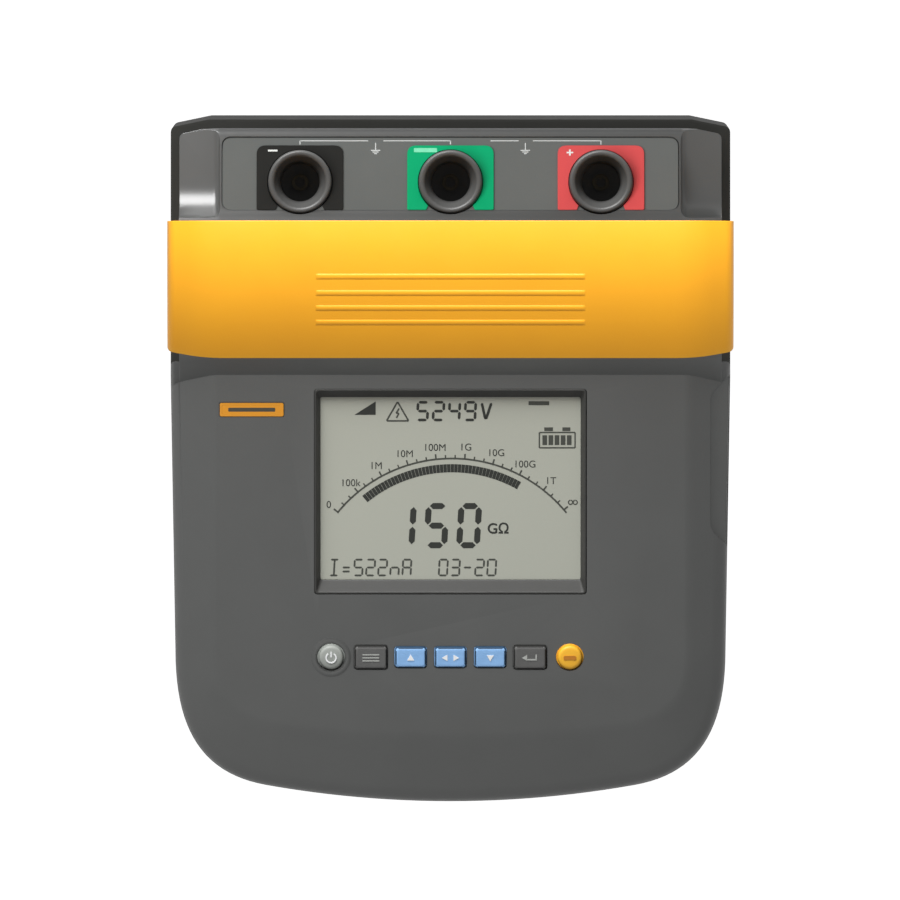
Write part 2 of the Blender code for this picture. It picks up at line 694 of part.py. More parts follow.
def make_terminals():
    thickness = BLOCK_POCKET_DEPTH - GAP - 0.5 * MM
    centre = (0, BLOCK_PLATE_SHIFT, -BLOCK_POCKET_DEPTH + GAP + thickness / 2)
    plate = box("terminal_block", (2 * BLOCK_PLATE_HALF, BLOCK_PLATE_LENGTH, thickness), centre, SLOPE)
    paint(plate, (0.19, 0.2, 0.195), 0.6)
    colours = {"black": BLACK, "green": (0.01, 0.4, 0.18), "red": (0.7, 0.06, 0.06)}
    for name, x in JACKS.items():
        passage = bpy.data.objects[f"jack_passage_{name}"]
        cut(plate, passage)
        inlay = box(f"terminal_plate_{name}", (PLATE_WIDTH, PLATE_LENGTH, 0.8 * MM), (0, 0, 0))
        inlay.matrix_world = SLOPE @ Matrix.Translation((x, PLATE_SHIFT, 0.2 * MM))
        cut(inlay, passage)
        paint(inlay, colours[name], 0.45)
        spot = Matrix.Translation((x, JACK_Y, 0))
        r, b, rim = JACK_RADIUS, JACK_BORE, JACK_TOP_Z
        sleeve = [
            (0, JACK_FLOOR_Z), (b, JACK_FLOOR_Z), (b, rim - 5.5 * MM), (10.75 * MM, rim - 0.8 * MM),
            (11.4 * MM, rim), (r - 0.8 * MM, rim), (r, rim - 0.8 * MM), (r, JACK_BASE_Z), (0, JACK_BASE_Z),
        ]
        paint(lathe(f"jack_sleeve_{name}", sleeve, spot, 24), (0.07, 0.07, 0.07), 0.45)
        low, high = JACK_FLOOR_Z + GAP, JACK_FLOOR_Z + 8 * MM
        contact = [(2.1 * MM, high), (3.6 * MM, high), (3.6 * MM, low), (2.1 * MM, low)]
        paint(lathe(f"jack_contact_{name}", contact, spot, 16, True), (0.8, 0.6, 0.25), 0.3, 1)


# ---------------------------------------------------------------- display, nameplate and buttons

def make_display():
    w, h = DISPLAY_SIZE
    vw, vh = VIEW_SIZE
    frame = box("display_bezel", (w, h, 4.8 * MM), (0, DISPLAY_V, -2.6 * MM), PANEL)
    flange = box("bezel_flange", (w + 6 * MM, h + 6 * MM, 1.6 * MM), (0, DISPLAY_V, -4.2 * MM), PANEL, True)
    view_v = DISPLAY_V + VIEW_SHIFT_V
    rings = []
    for z, u, v, middle in (
        (-9 * MM, vw, vh, view_v),
        (-2.9 * MM, vw, vh, view_v),
        (0.2 * MM, w - 1.4 * MM, h - 1.4 * MM, DISPLAY_V),
    ):
        low_v, high_v = middle - v / 2, middle + v / 2
        rings.append([(-u / 2, low_v, z), (u / 2, low_v, z), (u / 2, high_v, z), (-u / 2, high_v, z)])
    opening = loft("bezel_opening", rings, True)
    opening.matrix_world = PANEL
    pocket = box("window_pocket", (vw + 2.4 * MM, vh + 2.4 * MM, 4 * MM), (0, view_v, -5 * MM), PANEL, True)
    join(frame, flange)
    cut(frame, opening, pocket)
    paint(frame, (0.05, 0.05, 0.05), 0.5)
    window = box("display_window", (vw + 1.6 * MM, vh + 1.6 * MM, 1.5 * MM), (0, view_v, -4.1 * MM), PANEL)
    paint(window, (0.5, 0.52, 0.45), 0.15)
    module = box("lcd_module", (118 * MM, 86 * MM, 6 * MM), (0, view_v, -8.6 * MM), PANEL)
    soften(module, 1 * MM)
    paint(module, (0.3, 0.32, 0.28), 0.4)
    plate = box("nameplate", (27.1 * MM, 5.8 * MM, 0.8 * MM), (*NAMEPLATE_PLACE, 0.2 * MM), PANEL)
    paint(plate, (0.75, 0.42, 0.05), 0.4)


def make_buttons():
    edge_z = BUTTON_RISE - 0.8 * MM
    for name, place, size, colour in BUTTONS:
        spot = button_spot(place)
        if len(size) == 1:
            r = size[0]
            profile = [
                (0, BUTTON_RISE), (r - 0.8 * MM, BUTTON_RISE), (r, edge_z), (r, FLANGE_HIGH),
                (r + 1.6 * MM, FLANGE_HIGH), (r + 1.6 * MM, FLANGE_LOW), (0, FLANGE_LOW),
            ]
            button = lathe(name, profile, spot, 24)
        else:
            rings = []
            flange = [(FLANGE_LOW, 1), (FLANGE_HIGH, 1)]
            for z, grow in flange + [(FLANGE_HIGH, -0.2), (edge_z, -0.2), (BUTTON_RISE, -1)]:
                u, v = size[0] / 2 + grow * MM, size[1] / 2 + grow * MM
                rings.append([(-u, -v, z), (u, -v, z), (u, v, z), (-u, v, z)])
            button = loft(name, rings)
            button.matrix_world = spot
        paint(button, colour, 0.5)
    w, h = KEYPAD_SIZE
    mat = box("keypad_mat", (w, h, 1.5 * MM), (0, BUTTON_V, -7 * MM), PANEL)
    paint(mat, (0.6, 0.6, 0.58), 0.8)
    board = box("keypad_board", (w + 4 * MM, h + 4 * MM, 1.6 * MM), (0, BUTTON_V, -8.9 * MM), PANEL)
    paint(board, (0.02, 0.16, 0.06), 0.4)


# ---------------------------------------------------------------- side recess


def make_inlet():
    span, centre = RAIL_Y[1] - RAIL_Y[0], (RAIL_Y[0] + RAIL_Y[1]) / 2
    face = RECESS_X + GAP
    rail = box("shutter_rail", (4.6 * MM, span, 25 * MM), (face + 2.3 * MM, centre, INLET_Z))
    channel = box("rail_channel", (2.2 * MM, FAR, 21 * MM), (face + 2.5 * MM, centre, INLET_Z), None, True)
    front = box("rail_front", (4 * MM, FAR, 18 * MM), (face + 4.6 * MM, centre, INLET_Z), None, True)
    hole = box("rail_inlet_hole", (9 * MM, 22.6 * MM, 15.6 * MM), (face, INLET_Y, INLET_Z), None, True)
    port = box("rail_port_hole", (9 * MM, *INFRARED_HOLE), (face, INFRARED_Y, INLET_Z), None, True)
    paint(cut(rail, channel, front, hole, port), BLACK, 0.5)
    shutter = box("inlet_shutter", (1.6 * MM, SHUTTER_LENGTH, 20.4 * MM), (0, 0, 0))
    tab = box("shutter_tab", (2.6 * MM, 3 * MM, 14 * MM), (1.6 * MM, 0, 0), None, True)
    shutter.location = tab.location = (face + 2.5 * MM, INLET_Y, INLET_Z)
    paint(join(shutter, tab), (0.6, 0.1, 0.08), 0.5)
    body = box("mains_inlet", (24 * MM, 22 * MM, 15 * MM), (RECESS_X - 11 * MM, INLET_Y, INLET_Z))
    socket = box("inlet_socket", (14 * MM, 17 * MM, 9 * MM), (RECESS_X, INLET_Y, INLET_Z), None, True)
    paint(cut(body, socket), BLACK, 0.4)
    window = box("infrared_window", (6 * MM, 10 * MM, 8 * MM), (RECESS_X - 2.2 * MM, INFRARED_Y, INLET_Z))
    paint(window, (0.05, 0.005, 0.01), 0.1)


# ---------------------------------------------------------------- inside the case


def make_internals():
    battery = box("battery_pack", (178 * MM, 66 * MM, 34 * MM), (0, -67 * MM, 25.3 * MM))
    paint(soften(battery, 2 * MM), (0.05, 0.05, 0.06), 0.5)
    top, foot = 44.2 * MM, FLOOR_INNER_Z + GAP
    half, leg, reach = 90.9 * MM, 1.5 * MM, 99 * MM
    strap = [
        (-reach, foot), (-half + leg, foot), (-half + leg, top - leg), (half - leg, top - leg),
        (half - leg, foot), (reach, foot), (reach, foot + leg), (half, foot + leg),
        (half, top), (-half, top), (-half, foot + leg), (-reach, foot + leg),
    ]
    paint(prism("battery_bracket", strap, -75 * MM, -60 * MM, "Y"), STEEL, 0.4, 1)
    board = box("main_board", (194 * MM, 136 * MM, 1.6 * MM), (0, -40 * MM, MAIN_BOARD_Z + 0.8 * MM))
    paint(board, (0.02, 0.16, 0.06), 0.4)
    high = box("high_voltage_board", (190 * MM, 88 * MM, 1.6 * MM), (0, 90 * MM, HIGH_BOARD_Z + 0.8 * MM))
    paint(high, (0.02, 0.13, 0.2), 0.4)
    core = box("transformer_core", (46 * MM, 40 * MM, 30 * MM), (-58 * MM, 72 * MM, HIGH_BOARD_Z + 17 * MM))
    paint(soften(core, 2 * MM), (0.2, 0.2, 0.21), 0.4, 1)
    for i, x in enumerate((28 * MM, 56 * MM)):
        profile = [
            (0, 98 * MM), (9 * MM, 98 * MM), (10 * MM, 97 * MM), (10 * MM, HIGH_BOARD_Z + 1.9 * MM),
            (0, HIGH_BOARD_Z + 1.9 * MM),
        ]
        capacitor = lathe(f"capacitor_{i + 1}", profile, Matrix.Translation((x, 68 * MM, 0)), 20)
        paint(capacitor, (0.1, 0.14, 0.4), 0.35)
    charger = box("charger_module", (100 * MM, 66 * MM, 32 * MM), (0, 84 * MM, 24.3 * MM))
    paint(soften(charger, 2 * MM), (0.3, 0.3, 0.31), 0.4, 1)
    buzzer = [(0, 16 * MM), (7 * MM, 16 * MM), (8 * MM, 15 * MM), (8 * MM, 8.3 * MM), (0, 8.3 * MM)]
    paint(lathe("buzzer", buzzer, Matrix.Translation((-75 * MM, 10 * MM, 0)), 20), BLACK, 0.5)


# ---------------------------------------------------------------- carry handle


def barrel(name, radius, end_radius, half_width, facet_x, cutter=False):
    """A shallow barrel about the X axis through the pivot, with cone-shaped ends."""
    profile = [
        (0, half_width), (end_radius, half_width), (radius, facet_x), (radius, -facet_x),
        (end_radius, -half_width), (0, -half_width),
    ]
    turn = Matrix.Translation(PIVOT) @ Matrix.Rotation(math.radians(90), 4, "Y")
    return lathe(name, profile, turn, 90, False, cutter)


def around_pivot(angle, radius):
    """A point in side view, angle counted from straight up towards the terminals."""
    return (PIVOT.y + radius * math.sin(angle), PIVOT.z + radius * math.cos(angle))


def make_handle():
    outer = barrel("handle_shell", HANDLE_RADIUS, HANDLE_END_RADIUS, HANDLE_HALF_WIDTH, HANDLE_FACET_X)
    t = HANDLE_THICKNESS
    inner = barrel(
        "handle_hollow", HANDLE_RADIUS - t, HANDLE_END_RADIUS - t, HANDLE_HALF_WIDTH - ARM_THICKNESS,
        HANDLE_FACET_X - 2 * MM, True,
    )
    far = HANDLE_RADIUS * 1.15
    foot = [around_pivot(math.radians(a), BOSS_RADIUS) for a in range(90, 271, 20)]
    outline = foot + [around_pivot(HANDLE_FRONT, far), around_pivot(HANDLE_REAR, far)]
    side_view = prism("handle_side_view", outline, -FAR, FAR, "X", True)
    cut(outer, inner)
    boolean(outer, side_view, "INTERSECT")
    for side in (-1, 1):
        turn = Matrix.Translation(PIVOT) @ Matrix.Rotation(math.radians(90 * side), 4, "Y")
        turn = turn @ Matrix.Rotation(math.radians(7), 4, "Z")
        profile = [
            (0, 130 * MM), (8 * MM, 130 * MM), (8 * MM, 118 * MM), (5 * MM, 118 * MM), (5 * MM, 100 * MM),
            (0, 100 * MM),
        ]
        cut(outer, lathe("arm_hole", profile, turn, 20, False, True))
    for i, angle in enumerate(RIB_ANGLES):
        spot = Matrix.Translation(PIVOT) @ Matrix.Rotation(-angle, 4, "X")
        outline = [
            (-1.1 * MM, -1 * MM), (1.1 * MM, -1 * MM), (1.1 * MM, 0.2 * MM), (0.4 * MM, 0.7 * MM),
            (-0.4 * MM, 0.7 * MM), (-1.1 * MM, 0.2 * MM),
        ]
        rib = prism(f"grip_rib_{i}", outline, -RIB_HALF_LENGTH, RIB_HALF_LENGTH, "X", True)
        rib.matrix_world = spot @ Matrix.Translation((0, 0, HANDLE_RADIUS))
        join(outer, rib)
    set_origin(outer, PIVOT)
    paint(outer, HANDLE_YELLOW, 0.4)
    low, high = HANDLE_RADIUS - t - 4 * MM, HANDLE_RADIUS - t - GAP
    span = LINER_REAR - LINER_FRONT
    angles = [LINER_FRONT + span * i / 8 for i in range(9)]
    outline = [around_pivot(a, high) for a in angles] + [around_pivot(a, low) for a in reversed(angles)]
    liner = prism("handle_grip_liner", outline, -98 * MM, 98 * MM, "X")
    set_origin(liner, PIVOT)
    paint(liner, BLACK, 0.85)


def set_origin(obj, point):
    """Moves an object's origin to a world point and leaves its shape where it is."""
    world = obj.matrix_world.copy()
    target = Matrix.Translation(point) @ world.to_3x3().to_4x4()
    obj.data.transform(target.inverted() @ world)
    obj.matrix_world = target


def make_pivots():
    for side, sign in (("right", 1), ("left", -1)):
        turn = Matrix.Translation(PIVOT) @ Matrix.Rotation(math.radians(90 * sign), 4, "Y")
        pin = [
            (0, 119.7 * MM), (7 * MM, 119.7 * MM), (7.6 * MM, 119.2 * MM), (7.6 * MM, 118.3 * MM),
            (4.7 * MM, 118.3 * MM), (4.7 * MM, 103 * MM), (0, 103 * MM),
        ]
        paint(lathe(f"pivot_pin_{side}", pin, turn, 20), STEEL, 0.35, 1)
        nut = [(5 * MM, 111.4 * MM), (8.2 * MM, 111.4 * MM), (8.2 * MM, 105.5 * MM), (5 * MM, 105.5 * MM)]
        paint(lathe(f"pivot_nut_{side}", nut, turn, 12, True), STEEL, 0.4, 1)


make_top_shell()
make_bottom_shell()
make_case_fasteners()
make_terminals()
make_display()
make_buttons()
make_inlet()
make_internals()
make_handle()
make_pivots()
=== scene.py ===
"""Looks of the insulation resistance tester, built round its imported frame. Metres, +Z up."""

import json
import math

import bmesh
import bpy
from mathutils import Matrix, Vector

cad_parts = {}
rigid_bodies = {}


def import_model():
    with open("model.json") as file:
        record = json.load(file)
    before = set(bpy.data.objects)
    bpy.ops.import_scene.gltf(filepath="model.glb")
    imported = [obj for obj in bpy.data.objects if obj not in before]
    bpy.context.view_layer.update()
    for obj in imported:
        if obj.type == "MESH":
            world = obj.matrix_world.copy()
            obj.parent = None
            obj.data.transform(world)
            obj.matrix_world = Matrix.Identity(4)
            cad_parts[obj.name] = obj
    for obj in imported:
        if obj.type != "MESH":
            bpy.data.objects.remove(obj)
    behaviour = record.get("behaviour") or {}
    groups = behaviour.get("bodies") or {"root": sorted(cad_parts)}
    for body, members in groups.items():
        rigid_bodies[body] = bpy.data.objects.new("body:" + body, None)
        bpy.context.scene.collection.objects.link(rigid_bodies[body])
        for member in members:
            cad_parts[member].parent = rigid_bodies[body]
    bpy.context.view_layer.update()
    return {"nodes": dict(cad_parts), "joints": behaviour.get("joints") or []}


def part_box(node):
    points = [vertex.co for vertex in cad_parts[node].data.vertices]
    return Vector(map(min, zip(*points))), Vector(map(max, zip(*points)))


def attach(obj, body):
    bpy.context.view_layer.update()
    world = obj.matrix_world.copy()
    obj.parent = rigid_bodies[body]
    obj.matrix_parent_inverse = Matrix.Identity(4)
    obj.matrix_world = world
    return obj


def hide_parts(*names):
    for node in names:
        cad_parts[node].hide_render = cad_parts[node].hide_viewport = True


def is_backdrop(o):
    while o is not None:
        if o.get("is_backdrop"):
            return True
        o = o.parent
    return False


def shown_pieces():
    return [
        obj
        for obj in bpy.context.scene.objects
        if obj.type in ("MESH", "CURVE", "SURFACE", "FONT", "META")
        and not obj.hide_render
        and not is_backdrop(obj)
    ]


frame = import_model()

MM = 0.001
FAR = 0.4
GAP = 0.3 * MM
WIDE_FACE = 8e-4

# Sizes read from the frame.
CASE_LOW, CASE_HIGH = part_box("bottom_shell")
HALF_WIDTH, HALF_LENGTH = CASE_HIGH.x, CASE_HIGH.y
FLOOR_Z = CASE_LOW.z
TOP_LOW, TOP_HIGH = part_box("top_shell")
PARTING_Z = TOP_LOW.z
RIDGE_Z = TOP_HIGH.z
JOINTS = {joint["name"]: joint for joint in frame["joints"]}
PIVOT = Vector(JOINTS["handle_hinge"]["pos_m"])
PRESS_AXIS = Vector(JOINTS["test_press"]["axis"])
PANEL_TILT = math.asin(PRESS_AXIS.y)
HANDLE_HALF_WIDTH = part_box("handle_shell")[1].x

# Case plan and section, as in the frame.
FRONT_HALF_WIDTH = 117.4 * MM
CORNER_Y = -82 * MM
NOSE_HALF_CHORD = 78.5 * MM
NOSE_RADIUS = 450 * MM
CORNER_FULLNESS = 0.69
CORNER_STEPS = 22
NOSE_STEPS = 12
SIDE_BEND_Y = 35 * MM
REAR_SLANT_X = 103 * MM
REAR_CORNER = 2.8 * MM
WALL = 3 * MM
PANEL_Y = 35.3 * MM
PANEL_Z = 105 * MM
FACET_DROP = 8.5 * MM
PANEL_HALF_WIDTH = 100.9 * MM
PANEL_NOSE_Y = -118.3 * MM
PANEL_NOSE_RADIUS = 620 * MM
PANEL_CORNER_Y = -86 * MM
PANEL_HALF_CHORD = 68 * MM
WEDGE_REAR_Y = 40 * MM
BLOCK_FRONT_Y = 24 * MM
BLOCK_REAR_Y = 140.9 * MM
BLOCK_HALF_WIDTH = 115.2 * MM
SHOULDER_REAR_Y = 41 * MM
SHOULDER_HALF_WIDTH = 118.6 * MM
RAMP_TOP = (44 * MM, 127 * MM)
RAMP_FOOT_Z = 60 * MM
SLOPE_TOP = (104.5 * MM, 131.5 * MM)
SLOPE_FOOT = (138 * MM, 118 * MM)
RECESS_X = 110.7 * MM
RECESS_Y = (-39 * MM, 36 * MM)
RECESS_FLOOR_Z = 49 * MM
RECESS_ROOF_Z = 75 * MM
NOTCH_DEPTH = 12 * MM
POCKET_DEPTH = 5.4 * MM
PANEL_STRIP_LENGTH = 33.3 * MM
PANEL_STRIP_SHIFT = -0.45 * MM
INLAY_WIDTH = 36.8 * MM
INLAY_LENGTH = 29.6 * MM
INLAY_SHIFT = -2.5 * MM
SCOOP_X = 97.8 * MM
SCOOP_WIDTH = 20 * MM
SCOOP_RADIUS = 19 * MM
SCOOP_Y = 121 * MM
SCOOP_Z = 136 * MM
SCOOP_FALL = math.tan(math.radians(12))
SCOOP_STEPS = 24
CASE_SCREWS = [(107.9 * MM, 126 * MM), (107.9 * MM, 52 * MM), (80 * MM, -118 * MM)]

# Handle. Its angles are in degrees from straight up, rearwards.
HANDLE_RADIUS = 96 * MM
HANDLE_END_RADIUS = 89 * MM
HANDLE_THICKNESS = 6 * MM
ARM_THICKNESS = 3.8 * MM
ARM_FOOT_RADIUS = 11.5 * MM
HANDLE_FRONT, HANDLE_REAR = -27.6, 6.6
RIB_ANGLES = (-6.7, -10.9, -14.8, -18.6)
LINER_THICKNESS = 4 * MM
LINER_FRONT, LINER_REAR = -24, 2.5

# Prints stand this far above their ground; the display's own marks are thinner.
PRINT = 0.06 * MM
PRINT_LOW, PRINT_HIGH = 0.01 * MM, 0.05 * MM
LETTER_HEIGHT = 0.05 * MM
SCALE_CENTRE = (0.6 * MM, -49.6 * MM)
SCALE_FIGURES = ("0", "100k", "1M", "10M", "100M", "1G", "10G", "100G", "1T")

GRAIN = 1400
FEET = [f"foot_{end}_{side}" for end in ("rear", "front") for side in ("left", "right")]
JACK_NAMES = ("black", "green", "red")
BUTTON_NAMES = (
    "power_button", "function_button", "up_button", "left_right_button", "down_button",
    "enter_button", "test_button",
)

PANEL = Matrix.Translation((0, PANEL_Y, PANEL_Z)) @ Matrix.Rotation(PANEL_TILT, 4, "X")
SLOPE_TILT = math.atan2(SLOPE_TOP[1] - SLOPE_FOOT[1], SLOPE_FOOT[0] - SLOPE_TOP[0])
SLOPE_MIDDLE = (0, (SLOPE_TOP[0] + SLOPE_FOOT[0]) / 2, (SLOPE_TOP[1] + SLOPE_FOOT[1]) / 2)
SLOPE = Matrix.Translation(SLOPE_MIDDLE) @ Matrix.Rotation(-SLOPE_TILT, 4, "X")


# ---- materials


def srgb(red, green, blue):
    """Linear colour from 0-255 display values."""
    values = []
    for value in (red, green, blue):
        c = value / 255
        values.append(c / 12.92 if c <= 0.04045 else ((c + 0.055) / 1.055) ** 2.4)
    return tuple(values)


class Nodes:
    """Short way to add and join the nodes of a material, a world or a light."""

    def __init__(self, owner):
        owner.use_nodes = True
        self.owner = owner
        self.tree = owner.node_tree
        shaders = ("BSDF_PRINCIPLED", "BACKGROUND", "EMISSION")
        self.shader = next(node for node in self.tree.nodes if node.type in shaders)

    def add(self, kind, **values):
        node = self.tree.nodes.new("ShaderNode" + kind)
        for key, value in values.items():
            if key in node.inputs:
                node.inputs[key].default_value = value
            else:
                setattr(node, key, value)
        return node

    def put(self, value, socket):
        """Joins an output to a socket, or sets the socket to a colour or number."""
        if isinstance(value, bpy.types.NodeSocket):
            self.tree.links.new(value, socket)
        else:
            socket.default_value = (*value, 1) if isinstance(value, tuple) else value

    def noise(self, scale, detail=4, roughness=0.55, stretch=None):
        node = self.add("TexNoise", Scale=scale, Detail=detail, Roughness=roughness)
        place = self.add("TexCoord").outputs["Object"]
        if stretch:
            mapping = self.add("Mapping", Scale=stretch)
            self.put(place, mapping.inputs["Vector"])
            place = mapping.outputs["Vector"]
        self.put(place, node.inputs["Vector"])
        return node.outputs["Fac"]

    def ramp(self, value, low, high, start=0, end=1):
        """Maps start..end to low..high, level outside."""
        node = self.add("MapRange")
        for name, number in (("From Min", start), ("From Max", end), ("To Min", low), ("To Max", high)):
            node.inputs[name].default_value = number
        self.put(value, node.inputs["Value"])
        return node.outputs["Result"]

    def calculate(self, operation, *values):
        node = self.add("Math", operation=operation)
        for value, socket in zip(values, node.inputs):
            self.put(value, socket)
        return node.outputs[0]

    def mix(self, factor, one, two, kind="RGBA"):
        first, result = (6, 2) if kind == "RGBA" else (2, 0)
        node = self.add("Mix", data_type=kind)
        for value, socket in ((factor, 0), (one, first), (two, first + 1)):
            self.put(value, node.inputs[socket])
        return node.outputs[result]

    def mottled(self, colour, dark, light, scale, detail):
        return self.mix(self.noise(scale, detail), shade(colour, dark), shade(colour, light))

    def relief(self, height, strength, depth=0.2 * MM, edges=0):
        """Normals bumped by a height, over edges that look rounded."""
        bump = self.add("Bump", Distance=depth)
        self.put(strength, bump.inputs["Strength"])
        self.put(height, bump.inputs["Height"])
        if edges:
            self.put(self.add("Bevel", samples=6, Radius=edges).outputs["Normal"], bump.inputs["Normal"])
        return bump.outputs["Normal"]

    def finish(self, **inputs):
        """Puts values into the shader's inputs, named with _ for a space."""
        for name, value in inputs.items():
            self.put(value, self.shader.inputs[name.replace("_", " ")])
        return self.owner


def shade(colour, factor):
    return tuple(min(1, c * factor) for c in colour)


def scoop_mask(n):
    """1 inside the two scoops at the rear, 0 elsewhere."""
    place = n.add("SeparateXYZ")
    n.put(n.add("TexCoord").outputs["Object"], place.inputs[0])
    across = n.ramp(n.calculate("ABSOLUTE", place.outputs[0]), 0, 1, 98 * MM, 99 * MM)
    along = n.ramp(place.outputs[1], 0, 1, 100 * MM, 102 * MM)
    up = n.ramp(place.outputs[2], 0, 1, 100 * MM, 101 * MM)
    return n.calculate("MULTIPLY", n.calculate("MULTIPLY", across, along), up)


def plastic(name, colour, roughness=0.5, bump=0.25, wear=0.25, specular=0.5, polish=None):
    """Moulded plastic: spark-eroded grain, faint mottling, scuffs, and edges rubbed paler.

    With polish, the scoops are smoother and shinier than the rest.
    """
    n = Nodes(bpy.data.materials.new(name))
    base = n.mottled(colour, 0.93, 1.07, 35, 3)
    base = n.mix(n.ramp(n.noise(GRAIN, 2, 0.6), 0, 0.16), base, shade(colour, 1.35))
    worn = n.ramp(n.add("NewGeometry").outputs["Pointiness"], 0, wear, 0.52, 0.6)
    base = n.mix(worn, base, tuple(min(1, c * 1.25 + 0.03) for c in colour))
    rough = n.ramp(n.noise(120, 6, 0.7), roughness - 0.07, roughness + 0.09)
    if polish is not None:
        mask = scoop_mask(n)
        rough = n.mix(mask, rough, polish, "FLOAT")
        bump = n.ramp(mask, bump, 0.02)
        specular = n.ramp(mask, specular, 0.6)
    normal = n.relief(n.noise(1.4 * GRAIN, 3, 0.65), bump, edges=0.6 * MM)
    return n.finish(Base_Color=base, Roughness=rough, Normal=normal, Specular_IOR_Level=specular)


def rubber(name, colour, roughness=0.75):
    n = Nodes(bpy.data.materials.new(name))
    return n.finish(
        Base_Color=n.mottled(colour, 0.85, 1.2, 220, 4),
        Roughness=n.ramp(n.noise(90, 5), roughness - 0.1, roughness + 0.1),
        Normal=n.relief(n.noise(1800, 3), 0.4, edges=0.5 * MM),
        Specular_IOR_Level=0.3,
    )


def metal(name, colour, roughness=0.35):
    """Plated metal with a faint brushed streak and a few dull spots."""
    n = Nodes(bpy.data.materials.new(name))
    streak = n.noise(260, 5, 0.5, (1, 1, 14))
    return n.finish(
        Base_Color=n.mix(streak, shade(colour, 0.8), shade(colour, 1.15)),
        Roughness=n.ramp(streak, roughness - 0.12, roughness + 0.15),
        Normal=n.relief(streak, 0.15),
        Metallic=1,
    )


def board(name, colour):
    """Circuit board: solder mask over a faint pattern of tracks."""
    n = Nodes(bpy.data.materials.new(name))
    bricks = n.add("TexBrick", Scale=160)
    bricks.inputs["Mortar Size"].default_value = 0.03
    n.put(n.add("TexCoord").outputs["Object"], bricks.inputs["Vector"])
    tracks = bricks.outputs["Fac"]
    return n.finish(
        Base_Color=n.mix(tracks, colour, shade(colour, 1.8)),
        Roughness=n.ramp(n.noise(300, 3), 0.25, 0.45),
        Normal=n.relief(tracks, 0.3, 0.1 * MM),
    )


def display_film(name, colour):
    """Reflective display: fine cell mottle under a clear, slightly hazy cover."""
    n = Nodes(bpy.data.materials.new(name))
    cells = n.mottled(colour, 0.97, 1.03, 900, 2)
    cloud = n.mottled(colour, 0.95, 1.05, 12, 2)
    return n.finish(
        Base_Color=n.mix(0.5, cells, cloud),
        Roughness=n.ramp(n.noise(60, 3), 0.3, 0.4),
        Normal=n.relief(n.noise(1500, 2), 0.04, 0.1 * MM),
        Coat_Weight=0.35,
        Coat_Roughness=0.12,
    )


def printed(name, colour, roughness=0.5):
    """Screen-printed ink or a display segment."""
    n = Nodes(bpy.data.materials.new(name))
    return n.finish(
        Base_Color=n.mottled(colour, 0.9, 1.1, 700, 3),
        Roughness=n.ramp(n.noise(400, 2), roughness - 0.05, roughness + 0.1),
    )


CASE = plastic("case_plastic", srgb(98, 99, 98), 0.52, specular=0.3, polish=0.3)
CASE_DARK = plastic("lower_case_plastic", srgb(62, 62, 59), 0.55, specular=0.3)
HANDLE = plastic("handle_plastic", srgb(255, 172, 29), 0.42, bump=0.15, wear=0.15)
PANEL_PLASTIC = plastic("terminal_panel_plastic", srgb(114, 117, 115), 0.5, bump=0.12, specular=0.35)
JACK_PLASTIC = plastic("jack_plastic", srgb(74, 74, 73), 0.4, bump=0.08)
INLAYS = {
    "black": plastic("black_inlay", srgb(44, 44, 42), 0.5, bump=0.06, specular=0.2),
    "green": plastic("green_inlay", srgb(6, 184, 122), 0.5, bump=0.06, specular=0.2),
    "red": plastic("red_inlay", srgb(240, 92, 93), 0.5, bump=0.06, specular=0.2),
}
BEZEL = plastic("bezel_plastic", srgb(58, 58, 56), 0.5, bump=0.1)
BLACK_PLASTIC = plastic("black_plastic", srgb(40, 40, 40), 0.5)
SHUTTER = plastic("shutter_plastic", srgb(150, 48, 40), 0.5)
BUTTON_BLUE = rubber("blue_key", srgb(140, 184, 232), 0.6)
BUTTON_GREY = rubber("grey_key", srgb(96, 96, 95), 0.6)
# Darker copies of the key rubbers for the keys' sides: painted shade, standing in for the shade in the
# gap round each key.
PAINTED_KEY_SIDE_SHADES = {
    BUTTON_GREY: rubber("key_flank", srgb(40, 40, 39), 0.6),
    BUTTON_BLUE: rubber("blue_key_flank", srgb(48, 74, 100), 0.6),
}
BUTTON_LIGHT = plastic("power_key", srgb(156, 160, 155), 0.5, bump=0.15)
BUTTON_AMBER = plastic("test_key", srgb(255, 186, 50), 0.45, bump=0.1)
RUBBER = rubber("foot_rubber", srgb(38, 38, 38))
LINER = rubber("liner_rubber", srgb(44, 44, 44), 0.8)
SILICONE = rubber("silicone", srgb(190, 190, 185), 0.6)
STEEL = metal("plated_steel", (0.55, 0.55, 0.56))
DARK_METAL = metal("darkened_brass", (0.05, 0.045, 0.035), 0.45)
FILM = display_film("display_film", srgb(181, 183, 171))
SEGMENT = printed("display_segment", srgb(52, 54, 50), 0.4)
SEGMENT_PALE = printed("display_segment_pale", srgb(74, 76, 70), 0.4)
WHITE_INK = printed("white_ink", srgb(176, 178, 174))
ARROW_INK = printed("arrow_ink", srgb(244, 246, 248))
GREY_INK = printed("grey_ink", srgb(156, 158, 156))
GREEN_INK = printed("green_ink", srgb(78, 172, 132))
DARK_INK = printed("dark_ink", srgb(74, 70, 60))
BROWN_INK = printed("brown_ink", srgb(198, 126, 36))
AMBER = plastic("nameplate_amber", srgb(232, 156, 44), 0.38, bump=0.05)
INFRARED = plastic("infrared_film", srgb(60, 12, 18), 0.12, bump=0)
BOARD_GREEN = board("green_board", (0.02, 0.15, 0.06))
BOARD_BLUE = board("blue_board", (0.02, 0.09, 0.2))
CAPACITOR = plastic("capacitor_sleeve", srgb(60, 74, 150), 0.3, bump=0.02)
BATTERY = plastic("battery_case", srgb(52, 52, 56), 0.55)
MODULE = plastic("module_case", srgb(140, 142, 134), 0.5)


# ---- mesh helpers


